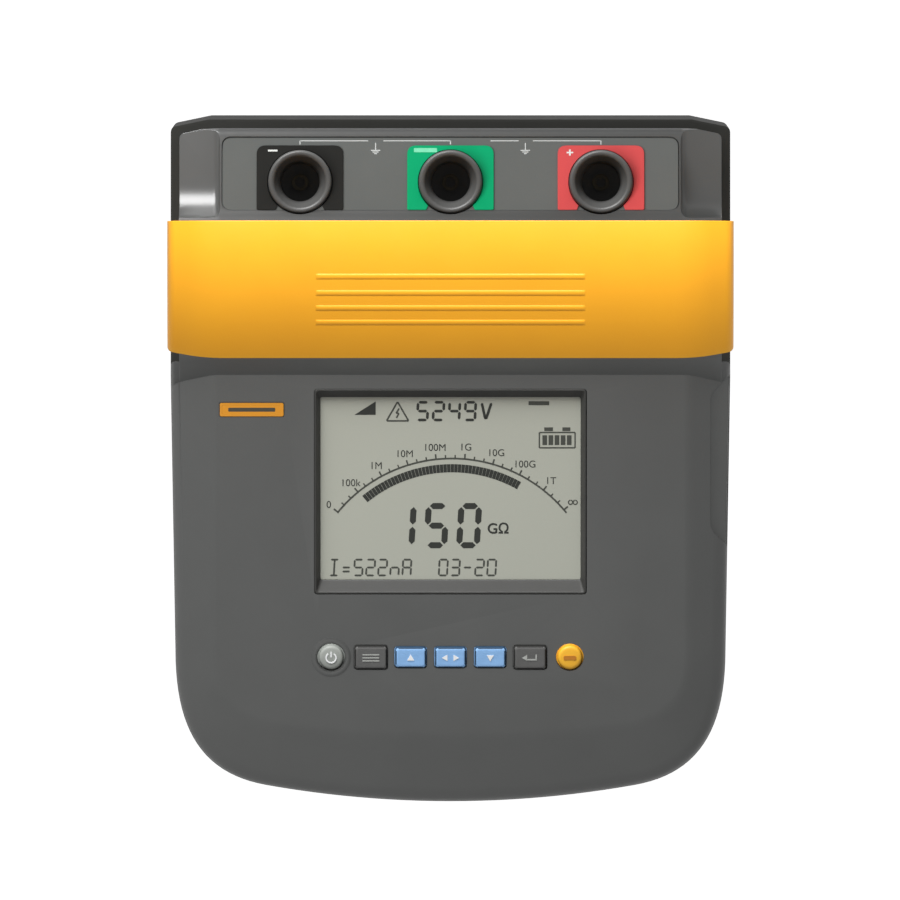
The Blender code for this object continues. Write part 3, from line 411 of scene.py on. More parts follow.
def add_object(name, data, matrix=None):
    obj = bpy.data.objects.new(name, data)
    bpy.context.scene.collection.objects.link(obj)
    if matrix is not None:
        obj.matrix_world = matrix
    return obj


def from_bmesh(name, bm, matrix=None):
    bmesh.ops.recalc_face_normals(bm, faces=bm.faces)
    mesh = bpy.data.meshes.new(name)
    bm.to_mesh(mesh)
    bm.free()
    return add_object(name, mesh, matrix)


def box(name, size, centre, matrix=None):
    bm = bmesh.new()
    bmesh.ops.create_cube(bm, size=1)
    bmesh.ops.scale(bm, vec=size, verts=bm.verts)
    bmesh.ops.translate(bm, vec=centre, verts=bm.verts)
    return from_bmesh(name, bm, matrix)


def skin(bm, rings):
    """Adds a closed skin through rings of points to a mesh."""
    loops = [[bm.verts.new(p) for p in ring] for ring in rings]
    bm.faces.new(loops[0][::-1])
    bm.faces.new(loops[-1])
    for lower, upper in zip(loops, loops[1:]):
        for i in range(len(lower)):
            j = (i + 1) % len(lower)
            bm.faces.new((lower[i], lower[j], upper[j], upper[i]))


def loft(name, rings, matrix=None):
    bm = bmesh.new()
    skin(bm, rings)
    return from_bmesh(name, bm, matrix)


def slabs(name, outlines, low, high, matrix=None):
    """Flat outlines, each extruded from low to high, as one mesh."""
    bm = bmesh.new()
    for outline in outlines:
        skin(bm, (at_height(outline, low), at_height(outline, high)))
    return from_bmesh(name, bm, matrix)


ACROSS = Matrix(((0, 0, 1, 0), (1, 0, 0, 0), (0, 1, 0, 0), (0, 0, 0, 1)))


def side_prism(name, outline, half_width):
    """An outline in (y, z) extruded across the width."""
    obj = slabs(name, [outline], -half_width, half_width)
    obj.data.transform(ACROSS)
    return obj


def lathe(name, profile, matrix=None, segments=64, closed=False):
    """Turns a profile of (radius, height) about Z into a closed solid."""
    bm = bmesh.new()
    points = [bm.verts.new((r, 0, z)) for r, z in profile]
    edges = [bm.edges.new(pair) for pair in zip(points, points[1:])]
    if closed:
        edges.append(bm.edges.new((points[-1], points[0])))
    turn = {"angle": 2 * math.pi, "steps": segments, "axis": (0, 0, 1), "cent": (0, 0, 0)}
    bmesh.ops.spin(bm, geom=points + edges, **turn)
    bmesh.ops.remove_doubles(bm, verts=bm.verts, dist=1e-6)
    return from_bmesh(name, bm, matrix)


def boolean(obj, operation, *others):
    for other in others:
        modifier = obj.modifiers.new(operation.lower(), "BOOLEAN")
        modifier.operation = operation
        modifier.object = other
        other["cutter"] = True
    return obj


def cut(obj, *others):
    return boolean(obj, "DIFFERENCE", *others)


def join(obj, *others):
    return boolean(obj, "UNION", *others)


def soften(obj, width, segments, angle):
    bevel = obj.modifiers.new("soft_edges", "BEVEL")
    bevel.width = width
    bevel.segments = segments
    bevel.limit_method = "ANGLE"
    bevel.angle_limit = math.radians(angle)
    bevel.use_clamp_overlap = True
    return obj


def evaluated_mesh(obj):
    bpy.context.view_layer.update()
    graph = bpy.context.evaluated_depsgraph_get()
    return bpy.data.meshes.new_from_object(obj.evaluated_get(graph))


def bake(obj):
    """Replaces an object's mesh by what its modifiers make of it."""
    mesh = evaluated_mesh(obj)
    obj.modifiers.clear()
    obj.data = mesh
    return obj


def drop_cutters():
    for obj in list(bpy.data.objects):
        if obj.get("cutter"):
            bpy.data.objects.remove(obj, do_unlink=True)


def smooth(obj, angle=32):
    """Shades an object's curves smoothly; its wide faces stay truly flat."""
    obj.data.shade_smooth()
    obj.data.set_sharp_from_angle(angle=math.radians(angle))
    for face in obj.data.polygons:
        if face.area > WIDE_FACE:
            face.use_smooth = False
    weighted = obj.modifiers.new("even_normals", "WEIGHTED_NORMAL")
    weighted.keep_sharp = True
    weighted.weight = 100
    return obj


def finish_piece(obj, material, body, *stands_for, slot=None):
    """Gives a piece its material and body, and hides the CAD nodes it stands for."""
    obj.data.materials.clear()
    obj.data.materials.append(material)
    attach(obj, body)
    if stands_for:
        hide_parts(*stands_for)
    return obj


def finish_moulding(obj, edge, segments, material, node, slot):
    """Rounds a cut piece's edges and finishes it as part of the case."""
    bake(obj)
    soften(obj, edge, segments, 50)
    bake(obj)
    finish_piece(smooth(obj), material, "case", node, slot=slot)


# ---- outlines


def bezier(points, steps):
    out = []
    for i in range(1, steps + 1):
        t = i / steps
        weights = ((1 - t) ** 3, 3 * t * (1 - t) ** 2, 3 * t * t * (1 - t), t ** 3)
        out.append(tuple(sum(w * p[k] for w, p in zip(weights, points)) for k in (0, 1)))
    return out


def rounded(points, radii, steps=4, closed=True):
    """A polyline with its corners replaced by curves that start and end a radius away."""
    out = []
    count = len(points)
    for i, (point, radius) in enumerate(zip(points, radii)):
        if not radius or (not closed and i in (0, count - 1)):
            out.append(tuple(point))
            continue
        here = Vector(point)
        before = Vector(points[i - 1]) - here
        after = Vector(points[(i + 1) % count]) - here
        start = here + before.normalized() * min(radius, before.length * 0.48)
        end = here + after.normalized() * min(radius, after.length * 0.48)
        for k in range(steps + 1):
            t = k / steps
            out.append(tuple(start * (1 - t) ** 2 + here * 2 * t * (1 - t) + end * t * t))
    return out


def nose_half(side, corner_y, chord, nose_y, radius):
    """The right half of a nose: a full corner, then a long flat arc to the middle."""
    lean = math.asin(chord / radius)
    end = (chord, nose_y + radius * (1 - math.cos(lean)))
    meet_y = end[1] + (side - chord) * math.tan(lean)
    reach = CORNER_FULLNESS * (side - chord)
    start = (side, corner_y)
    pull = (side, corner_y + CORNER_FULLNESS * (meet_y - corner_y))
    push = (chord + reach, end[1] + reach * math.tan(lean))
    points = [start] + bezier([start, pull, push, end], CORNER_STEPS)
    for i in range(1, NOSE_STEPS + 1):
        x = chord * (1 - i / NOSE_STEPS)
        points.append((x, nose_y + radius - math.sqrt(radius * radius - x * x)))
    return points


def mirrored(half):
    return half + [(-x, y) for x, y in reversed(half[:-1])]


def case_outline():
    c = REAR_CORNER
    inner = (HALF_WIDTH - c, HALF_LENGTH - c)
    pulls = [
        inner, (HALF_WIDTH - c / 3, HALF_LENGTH - 1.1 * c),
        (HALF_WIDTH, HALF_LENGTH - 1.4 * c), (HALF_WIDTH, HALF_LENGTH - 2 * c),
    ]
    rear = [(REAR_SLANT_X, HALF_LENGTH), inner] + bezier(pulls, 6)
    nose = nose_half(FRONT_HALF_WIDTH, CORNER_Y, NOSE_HALF_CHORD, -HALF_LENGTH, NOSE_RADIUS)
    return mirrored(rear + [(HALF_WIDTH, SIDE_BEND_Y)] + nose)


def shrink(outline, side, rear=None, nose=None):
    rear = side if rear is None else rear
    nose = side if nose is None else nose
    across = 1 - side / HALF_WIDTH
    back = 1 - rear / HALF_LENGTH
    front = 1 - nose / HALF_LENGTH
    return [(x * across, y * (back if y > 0 else front)) for x, y in outline]


def at_height(outline, z):
    return [(x, y, z) for x, y in outline]


def panel_z(y):
    return PANEL_Z + (y - PANEL_Y) * math.tan(PANEL_TILT)


def ramp_y(z):
    return RAMP_TOP[0] - (RAMP_TOP[1] - z) * (RAMP_TOP[0] - PANEL_Y) / (RAMP_TOP[1] - PANEL_Z)


def offset_polygon(points, distance):
    """A counter-clockwise polygon with every side moved in by a distance."""
    lines = []
    for (x0, y0), (x1, y1) in zip(points, points[1:] + points[:1]):
        length = math.hypot(x1 - x0, y1 - y0)
        nx, ny = -(y1 - y0) / length, (x1 - x0) / length
        lines.append((nx, ny, nx * x0 + ny * y0 + distance))
    out = []
    for (a, b, c), (d, e, f) in zip(lines[-1:] + lines[:-1], lines):
        det = a * e - b * d
        out.append(((c * e - b * f) / det, (a * f - c * d) / det))
    return out


def disc(centre, radius, steps):
    turns = [2 * math.pi * i / steps for i in range(steps)]
    return [(centre[0] + radius * math.cos(a), centre[1] + radius * math.sin(a)) for a in turns]


def rounded_rectangle(width, height, radius, centre=(0, 0)):
    x0, y0 = centre[0] - width / 2, centre[1] - height / 2
    x1, y1 = x0 + width, y0 + height
    return rounded([(x0, y0), (x1, y0), (x1, y1), (x0, y1)], [radius] * 4, 6)


def plate(name, width, height, radius, centre, low, high, matrix):
    """A slab with rounded corners."""
    return slabs(name, [rounded_rectangle(width, height, radius, centre)], low, high, matrix)


def bar(start, end, width, point=0.5):
    """A straight stroke with pointed ends, as a display segment has."""
    a, b = Vector(start), Vector(end)
    along = (b - a).normalized()
    side = Vector((-along.y, along.x)) * width / 2
    tip = along * width * point
    corners = [a, a + tip + side, b - tip + side, b, b - tip - side, a + tip - side]
    return [tuple(p) for p in corners]


def strokes(points, width, point=0.0):
    """Bars from each point to the next, given in millimetres."""
    points = [Vector(p) * MM for p in points]
    return [bar(start, end, width * MM, point) for start, end in zip(points, points[1:])]


def clock_point(centre, radius, angle):
    """A point on a circle; the angle is in radians, clockwise from straight up."""
    return (centre[0] + radius * math.sin(angle), centre[1] + radius * math.cos(angle))


def arc_band(centre, radius, width, start, end, steps):
    """Part of a ring, between two clock angles."""
    angles = [start + (end - start) * i / steps for i in range(steps + 1)]
    outer = [clock_point(centre, radius + width / 2, a) for a in angles]
    inner = [clock_point(centre, radius - width / 2, a) for a in angles]
    return outer + inner[::-1]


# ---- case shells


def wedge(name, inset):
    """The display section; each plan point carries a section with rounded corners."""
    rear = WEDGE_REAR_Y - inset
    nose = nose_half(FRONT_HALF_WIDTH, CORNER_Y, NOSE_HALF_CHORD, -HALF_LENGTH, NOSE_RADIUS)
    side = mirrored([(HALF_WIDTH, rear)] + nose)
    nose = nose_half(PANEL_HALF_WIDTH, PANEL_CORNER_Y, PANEL_HALF_CHORD, PANEL_NOSE_Y, PANEL_NOSE_RADIUS)
    flat = mirrored([(PANEL_HALF_WIDTH, rear)] + nose)
    outlines = (
        shrink(side, 0.7 * MM + inset, 0),
        shrink(side, inset, 0),
        shrink(side, 0.9 * MM + inset, 0),
        shrink(flat, 0.4 * inset, 0),
        shrink(flat, 4 * MM + 0.4 * inset, 0),
    )
    radii = [0, 0, 0.8 * MM, 6 * MM, 3.5 * MM, 0]
    sections = []
    for low, wall, edge, top, inner in zip(*outlines):
        points = [
            (*low, PARTING_Z - 6 * MM - inset),
            (*low, PARTING_Z),
            (*wall, PARTING_Z + 1 * MM),
            (*edge, panel_z(edge[1]) - FACET_DROP - inset),
            (*top, panel_z(top[1]) - inset),
            (*inner, panel_z(inner[1]) - inset),
        ]
        sections.append(rounded(points, radii, 5, False))
    return loft(name, [list(ring) for ring in zip(*sections)])


def block_profile(inset):
    """Side view of the rear block in (y, z), with its top corners rounded."""
    points = [
        (BLOCK_FRONT_Y, PARTING_Z - 7.3 * MM),
        (BLOCK_REAR_Y, PARTING_Z - 7.3 * MM),
        (BLOCK_REAR_Y - 1.2 * MM, SLOPE_FOOT[1] - 2 * MM),
        SLOPE_FOOT,
        SLOPE_TOP,
        (SLOPE_TOP[0] - 4 * MM, RIDGE_Z),
        (RAMP_TOP[0] + 8 * MM, RIDGE_Z),
        RAMP_TOP,
        (ramp_y(RAMP_FOOT_Z), RAMP_FOOT_Z),
    ]
    if inset:
        points = offset_polygon(points, inset)
        return [(y, z - 10 * MM if i < 2 else z) for i, (y, z) in enumerate(points)]
    return rounded(points, [0, 0, 1.2 * MM, 1.2 * MM, 1.6 * MM, 3 * MM, 6 * MM, 5 * MM, 0], 5)


def rear_block(name, inset):
    side, rear = HALF_WIDTH - BLOCK_HALF_WIDTH, HALF_LENGTH - BLOCK_REAR_Y
    plan = shrink(case_outline(), side + inset, rear + inset, 0)
    plan = [(x, y) for x, y in plan if y > SIDE_BEND_Y]
    middle = len(plan) // 2
    half_width = max(x for x, _ in plan)
    front = BLOCK_FRONT_Y - 20 * MM
    outline = plan[:middle] + [(half_width, front), (-half_width, front)] + plan[middle:]
    body = slabs(name, [outline], PARTING_Z - 30 * MM, RIDGE_Z + 10 * MM)
    boolean(body, "INTERSECT", side_prism(name + "_side_view", block_profile(inset), FAR))
    if not inset:
        bake(body)
        soften(body, 1.1 * MM, 3, 50)
    return body


def shoulder():
    top = PANEL_Z + (SHOULDER_REAR_Y - PANEL_Y) * 2.4
    profile = [
        (BLOCK_FRONT_Y - 1 * MM, PARTING_Z - 9 * MM),
        (SHOULDER_REAR_Y, PARTING_Z - 9 * MM),
        (SHOULDER_REAR_Y, top),
        (ramp_y(RAMP_FOOT_Z), RAMP_FOOT_Z),
    ]
    return soften(side_prism("shoulder_body", profile, SHOULDER_HALF_WIDTH), 1.2 * MM, 3, 50)


def recess_outline(grow):
    y0, y1 = RECESS_Y[0] - 1.4 * grow, RECESS_Y[1] + 1.4 * grow
    x0 = RECESS_X - grow
    run = HALF_WIDTH - RECESS_X
    points = [(x0, y0 + run), (HALF_WIDTH, y0), (FAR, y0), (FAR, y1), (HALF_WIDTH, y1), (x0, y1 - run)]
    return rounded(points, [3 * MM, 0, 0, 0, 0, 3 * MM], 5)


def notch():
    """Opens the recess to the top, down to a shelf that follows the panel."""
    outline = recess_outline(0)
    shelf = [(x, y, panel_z(y) - NOTCH_DEPTH) for x, y in outline]
    return loft("notch_cut", [shelf, at_height(outline, FAR)])


def scoop_profile(grow):
    """Side view of a scoop: a flat floor that curves up to the ridge."""
    radius = SCOOP_RADIUS + grow
    top = SCOOP_Z + radius
    rear = SCOOP_Y + 2 * radius
    floor = SCOOP_Z - radius
    points = [(rear, floor), (rear, top), (SCOOP_Y - radius, top)]
    for i in range(SCOOP_STEPS + 1):
        angle = math.pi / 2 * i / SCOOP_STEPS
        points.append((SCOOP_Y - radius * math.cos(angle), SCOOP_Z - radius * math.sin(angle)))
    return points


def scoops(name, grow):
    """Concave dips outside the terminal panel, open at the sides; their floors fall outwards."""
    both = None
    half = (SCOOP_WIDTH + grow) / 2
    centre = SCOOP_X - grow + half
    for side in (-1, 1):
        dip = side_prism(f"{name}_{side}", scoop_profile(grow), half)
        slant = Matrix.Translation((side * centre, 0, SCOOP_FALL * (SCOOP_X - centre)))
        slant[2][0] = -side * SCOOP_FALL
        dip.data.transform(slant)
        if not grow:
            soften(dip, 3 * MM, 5, 50)
        both = join(both, dip) if both else dip
    return both


def terminal_pocket(name, grow):
    margin = 2 * (GAP + grow)
    width, length = 2 * half_width_of("terminal_block") + margin, PANEL_STRIP_LENGTH + margin
    low = -POCKET_DEPTH - grow
    return plate(name, width, length, 4.5 * MM, (0, PANEL_STRIP_SHIFT), low, 30 * MM, SLOPE)


def middle_of(node):
    low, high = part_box(node)
    return (low + high) / 2


def half_width_of(node):
    low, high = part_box(node)
    return (high.x - low.x) / 2


def jack_passage(name):
    """Cutter for the round hole that a jack stands in."""
    centre = middle_of(f"jack_sleeve_{name}")
    radius = half_width_of(f"jack_sleeve_{name}") + GAP
    return slabs(f"passage_{name}", [disc((centre.x, centre.y), radius, 64)], 60 * MM, FAR)


def pivot_axis(side):
    """A frame at the handle's pivot whose Z points out of the left or right wall."""
    return Matrix.Translation(PIVOT) @ Matrix.Rotation(math.radians(90 * side), 4, "Y")


def button_matrix(name):
    """The panel's frame moved to a button's axis; height 0 is the panel's face."""
    local = PANEL.inverted() @ middle_of(name)
    return PANEL @ Matrix.Translation((local.x, BUTTON_V, 0))


def on_panel(name):
    """A CAD node's lowest and highest corners in the panel's frame."""
    points = [PANEL.inverted() @ v.co for v in frame["nodes"][name].data.vertices]
    return [Vector([pick(p[k] for p in points) for k in range(3)]) for pick in (min, max)]


def panel_extent(name):
    """A CAD node's size across and along the panel, and its middle there."""
    low, high = on_panel(name)
    return high.x - low.x, high.y - low.y, (high.x + low.x) / 2, (high.y + low.y) / 2


BUTTON_V = panel_extent("left_right_button")[3]
KEY_FLANGE = 1 * MM
ROUND_FLANGE = 1.6 * MM
ROUND_BUTTONS = ("power_button", "test_button")
BEZEL_FLANGE = 3 * MM


def key_size(name):
    """Width and height of the part of a key that stands in its hole."""
    width, height, _, _ = panel_extent(name)
    flange = ROUND_FLANGE if name in ROUND_BUTTONS else KEY_FLANGE
    return width - 2 * flange, height - 2 * flange


def panel_cutters():
    width, height, _, v = panel_extent("display_bezel")
    margin = 2 * (GAP - BEZEL_FLANGE)
    size = (width + margin, height + margin)
    cutters = [plate("display_cut", *size, 1.6 * MM, (0, v), -10 * MM, 10 * MM, PANEL)]
    width, height, x, v = panel_extent("nameplate")
    size = (width + 2 * GAP, height + 2 * GAP)
    cutters.append(plate("nameplate_cut", *size, 0.9 * MM, (x, v), -0.5 * MM, 5 * MM, PANEL))
    for name in BUTTON_NAMES:
        width, height = key_size(name)
        if name in ROUND_BUTTONS:
            outline = disc((0, 0), width / 2 + 0.8 * MM, 48)
        else:
            outline = rounded_rectangle(width + 0.8 * MM, height + 0.8 * MM, 1.6 * MM)
        cutters.append(slabs(name + "_hole", [outline], -9 * MM, 9 * MM, button_matrix(name)))
    return cutters


def power_collar():
    """Low rounded ring round the power button."""
    points = [(6.1, -1), (6.1, 0.2), (6.6, 0.9), (7.6, 0.8), (8.8, -0.3), (8.8, -1)]
    outline = rounded([(r * MM, z * MM) for r, z in points], [0, 0.3 * MM, 0.5 * MM, 0.8 * MM, 0, 0], 5)
    return lathe("power_collar", outline, button_matrix("power_button"), 64, True)


def terminal_cutters():
    cutters = [terminal_pocket("terminal_pocket", 0)]
    cutters += [jack_passage(name) for name in JACK_NAMES]
    for side in (-1, 1):
        hole = disc((0, 0), 5 * MM, 32)
        cutters.append(slabs("pivot_hole", [hole], 100 * MM, 140 * MM, pivot_axis(side)))
    return cutters


def node_hole(node, clearance, reach):
    """A box through the side wall, a clearance larger than a CAD node."""
    low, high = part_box(node)
    middle = (low + high) / 2
    size = (reach, high.y - low.y + clearance, high.z - low.z + clearance)
    return box(node + "_hole", size, (RECESS_X, middle.y, middle.z))


def make_top_shell():
    shell = wedge("upper_case", 0)
    join(shell, rear_block("block_body", 0), shoulder())
    hollow = wedge("upper_hollow", WALL)
    join(hollow, rear_block("rear_hollow", WALL))
    liner = slabs("recess_liner", [recess_outline(WALL)], 20 * MM, FAR)
    cut(hollow, liner, scoops("scoop_linings", WALL), terminal_pocket("pocket_lining", WALL))
    cavity = slabs("recess_cut", [recess_outline(0)], RECESS_FLOOR_Z, RECESS_ROOF_Z)
    parting = box("parting_cut", (FAR, FAR, PARTING_Z), (0, 0, PARTING_Z / 2))
    cut(shell, hollow, scoops("scoop_cuts", 0), cavity, notch(), parting)
    join(shell, power_collar())
    cut(shell, *panel_cutters(), *terminal_cutters())
    cut(shell, node_hole("mains_inlet", 2 * MM, 20 * MM), node_hole("infrared_window", 0.6 * MM, 20 * MM))
    bake(shell)
    smooth(shell)
    return finish_piece(shell, CASE, "case", "top_shell", slot="case_grey")


def make_bottom_shell():
    plan = case_outline()
    rim = PARTING_Z - GAP
    rings = []
    for height, side, rear, nose in (
        (0, 7, 8, 9), (0.3, 3.4, 4, 5.6), (2.4, 1.9, 2, 3.6), (8, 1.6, 1, 3), (17, 1, 0, 1.8),
        (40.2, 0, 2, 0), (40.5, 0, 2.05, 0), ((rim - FLOOR_Z) / MM, 0.7, 2.9, 0.7),
    ):
        rings.append(at_height(shrink(plan, side * MM, rear * MM, nose * MM), FLOOR_Z + height * MM))
    shell = loft("lower_case", rings)
    hollow = [(8, 10), (10, 6.5), (14, 5.5), (41, 4.2)]
    hollow = loft("case_hollow", [at_height(shrink(plan, inset * MM), z * MM) for z, inset in hollow])
    cut(shell, hollow, slabs("case_mouth", [shrink(plan, 7.8 * MM)], 38 * MM, 60 * MM))
    places = [(s * x, y) for x, y in CASE_SCREWS for s in (-1, 1)]
    join(shell, slabs("case_pillars", [disc(p, 6 * MM, 32) for p in places], FLOOR_Z + 1 * MM, rim))
    cut(shell, slabs("screw_recesses", [disc(p, 4.5 * MM, 32) for p in places], 0, 25 * MM))
    stems = [disc(middle_of(node).xy, 4 * MM, 32) for node in FEET]
    cut(shell, slabs("foot_holes", stems, 0, 20 * MM))
    bake(shell)
    smooth(shell)
    return finish_piece(shell, CASE_DARK, "case", "bottom_shell", slot="case_dark")


def make_feet():
    """Soft pads with a hollow underside, each on a stem that goes up into the case."""
    stem, ring_width = 3.7 * MM, 3 * MM
    for node in FEET:
        middle, radius = middle_of(node), half_width_of(node)
        stem_top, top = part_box(node)[1].z, FLOOR_Z - GAP
        rim = rounded(
            [(radius - 0.5 * MM, top), (radius, top - 0.7 * MM), (radius - 1 * MM, 0.2 * MM),
             (radius - ring_width, 0)],
            [0, 0.5 * MM, 1 * MM, 0], 4, False,
        )
        hollow = [(7 * MM, 0), (6.4 * MM, 0.6 * MM), (2.5 * MM, 0.6 * MM), (2 * MM, 0), (0, 0)]
        profile = [(0, stem_top), (stem, stem_top), (stem, top)] + rim + hollow
        foot = lathe(node + "_pad", profile, Matrix.Translation((middle.x, middle.y, 0)))
        finish_piece(smooth(foot), RUBBER, "case", node, slot="rubber")


# ---- terminals


def make_terminal_panel():
    size = (2 * half_width_of("terminal_block"), PANEL_STRIP_LENGTH)
    place = (0, PANEL_STRIP_SHIFT)
    panel = plate("terminal_panel", *size, 4.2 * MM, place, GAP - POCKET_DEPTH, -0.5 * MM, SLOPE)
    cut(panel, *(jack_passage(name) for name in JACK_NAMES))
    finish_moulding(panel, 0.5 * MM, 3, PANEL_PLASTIC, "terminal_block", "panel_grey")


def make_inlay(name):
    """Coloured plate round a jack, open below it where the jack runs into the ledge."""
    centre = middle_of(f"jack_sleeve_{name}")
    x0, x1 = centre.x - INLAY_WIDTH / 2, centre.x + INLAY_WIDTH / 2
    y0, y1 = INLAY_SHIFT - INLAY_LENGTH / 2, INLAY_SHIFT + INLAY_LENGTH / 2
    outline = rounded([(x0, y0), (x1, y0), (x1, y1), (x0, y1)], [0.8 * MM, 0.8 * MM, 4 * MM, 4 * MM], 6)
    inlay = slabs(f"terminal_inlay_{name}", [outline], -0.2 * MM, 0.5 * MM, SLOPE)
    neck = [(-9.2, -9.5), (9.2, -9.5), (11, -13.5), (11, -20), (-11, -20), (-11, -13.5)]
    neck = [(centre.x + x * MM, centre.y + y * MM) for x, y in neck]
    cut(inlay, jack_passage(name), slabs("inlay_neck", [neck], 60 * MM, FAR))
    finish_moulding(inlay, 0.25 * MM, 2, INLAYS[name], f"terminal_plate_{name}", f"plate_{name}")


def make_jack(name):
    """A shroud whose mouth flares a little, down to the floor of its bore."""
    node = f"jack_sleeve_{name}"
    centre, radius = middle_of(node), half_width_of(node)
    low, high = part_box(node)
    base, top = low.z, high.z
    bore, bore_floor = 8.25 * MM, 98 * MM
    rim = rounded(
        [(bore, top - 8 * MM), (8.9 * MM, top - 5 * MM), (11.2 * MM, top), (radius, top),
         (radius, top - 6 * MM)],
        [0, 1.4 * MM, 1 * MM, 2 * MM, 0], 8, False,
    )
    profile = [(0, bore_floor), (bore, bore_floor)] + rim + [(radius, base), (0, base)]
    sleeve = lathe(f"jack_collar_{name}", profile, Matrix.Translation((centre.x, centre.y, 0)), 96)
    finish_piece(smooth(sleeve), JACK_PLASTIC, "case", node, slot="jack_grey")


def make_terminal_prints():
    """Lines that join the terminals, earth signs, and a polarity mark on each plate."""
    left, middle, right = (middle_of(f"jack_sleeve_{name}").x / MM for name in JACK_NAMES)
    line_y, line = 14.7, 0.4
    marks = []
    for start, end in ((left, -35), (-28.5, middle), (middle + 17, 29), (35, right)):
        marks += strokes([(start, line_y), (end, line_y)], line)
    for x in (left, middle, right):
        marks += strokes([(x, line_y), (x, line_y - 1.7)], line)
    for x in (-31.8, 31.8):
        marks += strokes([(x, line_y - 1), (x, line_y - 4.2)], line)
        for y, half in ((4.4, 2), (5.15, 1.3), (5.9, 0.6)):
            marks += strokes([(x - half, line_y - y), (x + half, line_y - y)], 0.45)
    signs = strokes([(left - 13.6, 9.8), (left - 9.6, 9.8)], 0.8)
    x, y, arm, line = right - 13.2, 8.9, 1.4, 0.7
    signs += strokes([(x - arm, y), (x + arm, y)], line)
    for way in (-1, 1):
        signs += strokes([(x, y + way * line / 2), (x, y + way * arm)], line)
    field = rounded_rectangle(9.8 * MM, 1.9 * MM, 0.4 * MM, (-10.6 * MM, 10 * MM))
    for name, outlines, low, ink in (
        ("lines", marks, -0.5 * MM, GREY_INK),
        ("signs", signs, 0.5 * MM, WHITE_INK),
        ("field", [field], 0.5 * MM, GREEN_INK),
    ):
        finish_piece(slabs(f"terminal_print_{name}", outlines, low, low + PRINT, SLOPE), ink, "case")


# ---- display


def make_bezel():
    """Frame round the display: walls that slope down to the view, over a hidden flange."""
    outer_w, outer_h, _, v = panel_extent("display_bezel")
    width, height = outer_w - 2 * BEZEL_FLANGE, outer_h - 2 * BEZEL_FLANGE
    glass_w, glass_h, _, glass_v = panel_extent("display_window")
    view_w, view_h = glass_w - 1.6 * MM, glass_h - 1.6 * MM
    body = plate("display_frame", width, height, 1.4 * MM, (0, v), -5 * MM, -0.1 * MM, PANEL)
    flange = box("frame_flange", (outer_w, outer_h, 1.6 * MM), (0, v, -4.2 * MM), PANEL)
    rings = []
    for z, across, along, centre, radius in (
        (-9, view_w, view_h, glass_v, 1),
        (-2.9, view_w, view_h, glass_v, 1),
        (-0.5, width - 1.6 * MM, height - 1.6 * MM, v, 1.3),
        (0.3, width - 1 * MM, height - 1 * MM, v, 1.3),
    ):
        rings.append(at_height(rounded_rectangle(across, along, radius * MM, (0, centre)), z * MM))
    opening = loft("frame_opening", rings, PANEL)
    pocket_size = (view_w + 2.4 * MM, view_h + 2.4 * MM, 4 * MM)
    join(body, flange)
    cut(body, opening, box("window_pocket", pocket_size, (0, glass_v, -5 * MM), PANEL))
    bake(body)
    finish_piece(smooth(body, 40), BEZEL, "case", "display_bezel", slot="bezel_black")


# The strokes of a segment display's character, in a box one unit wide and high.
SEGMENTS = {
    "a": ((0, 1), (1, 1)), "b": ((1, 1), (1, 0.5)), "c": ((1, 0.5), (1, 0)), "d": ((0, 0), (1, 0)),
    "e": ((0, 0.5), (0, 0)), "f": ((0, 1), (0, 0.5)), "g": ((0, 0.5), (1, 0.5)),
    "m": ((0.5, 1), (0.5, 0)), "p": ((0, 1), (0.5, 0)), "q": ((1, 1), (0.5, 0)),
    "h": ((0, 0.25), (1, 0.25)),
}
CHARACTERS = {
    "0": "abcdef", "1": "bc", "2": "abged", "3": "abgcd", "4": "fgbc", "5": "afgcd", "9": "abcdfg",
    "I": "amd", "=": "gh", "n": "egc", "A": "efabcg", "V": "pq", "-": "g", " ": "",
}


def readout(text, left, bottom, height, pitch, width, stroke):
    """Outlines of a segment display's characters; sizes in millimetres."""
    outlines = []
    lean = 0.057
    for i, character in enumerate(text):
        for key in CHARACTERS[character]:
            start, end = (
                Vector((left + i * pitch + u * width + w * height * lean, bottom + w * height)) * MM
                for u, w in SEGMENTS[key]
            )
            trim = (end - start).normalized() * stroke * 0.18 * MM
            outlines.append(bar(start + trim, end - trim, stroke * MM))
    return outlines


def label(name, text, size, place, plane, weight=0):
    """Thin raised lettering, for scale figures and unit signs."""
    curve = bpy.data.curves.new(name, "FONT")
    curve.body = text
    curve.size = size
    curve.align_x = "CENTER"
    curve.align_y = "CENTER"
    curve.offset = weight
    curve.extrude = LETTER_HEIGHT / 2
    spot = plane @ Matrix.Translation((*place, PRINT_LOW + LETTER_HEIGHT / 2))
    guide = add_object(name + "_guide", curve, spot)
    finish_piece(add_object(name, evaluated_mesh(guide), spot), SEGMENT, "case")
    bpy.data.objects.remove(guide, do_unlink=True)


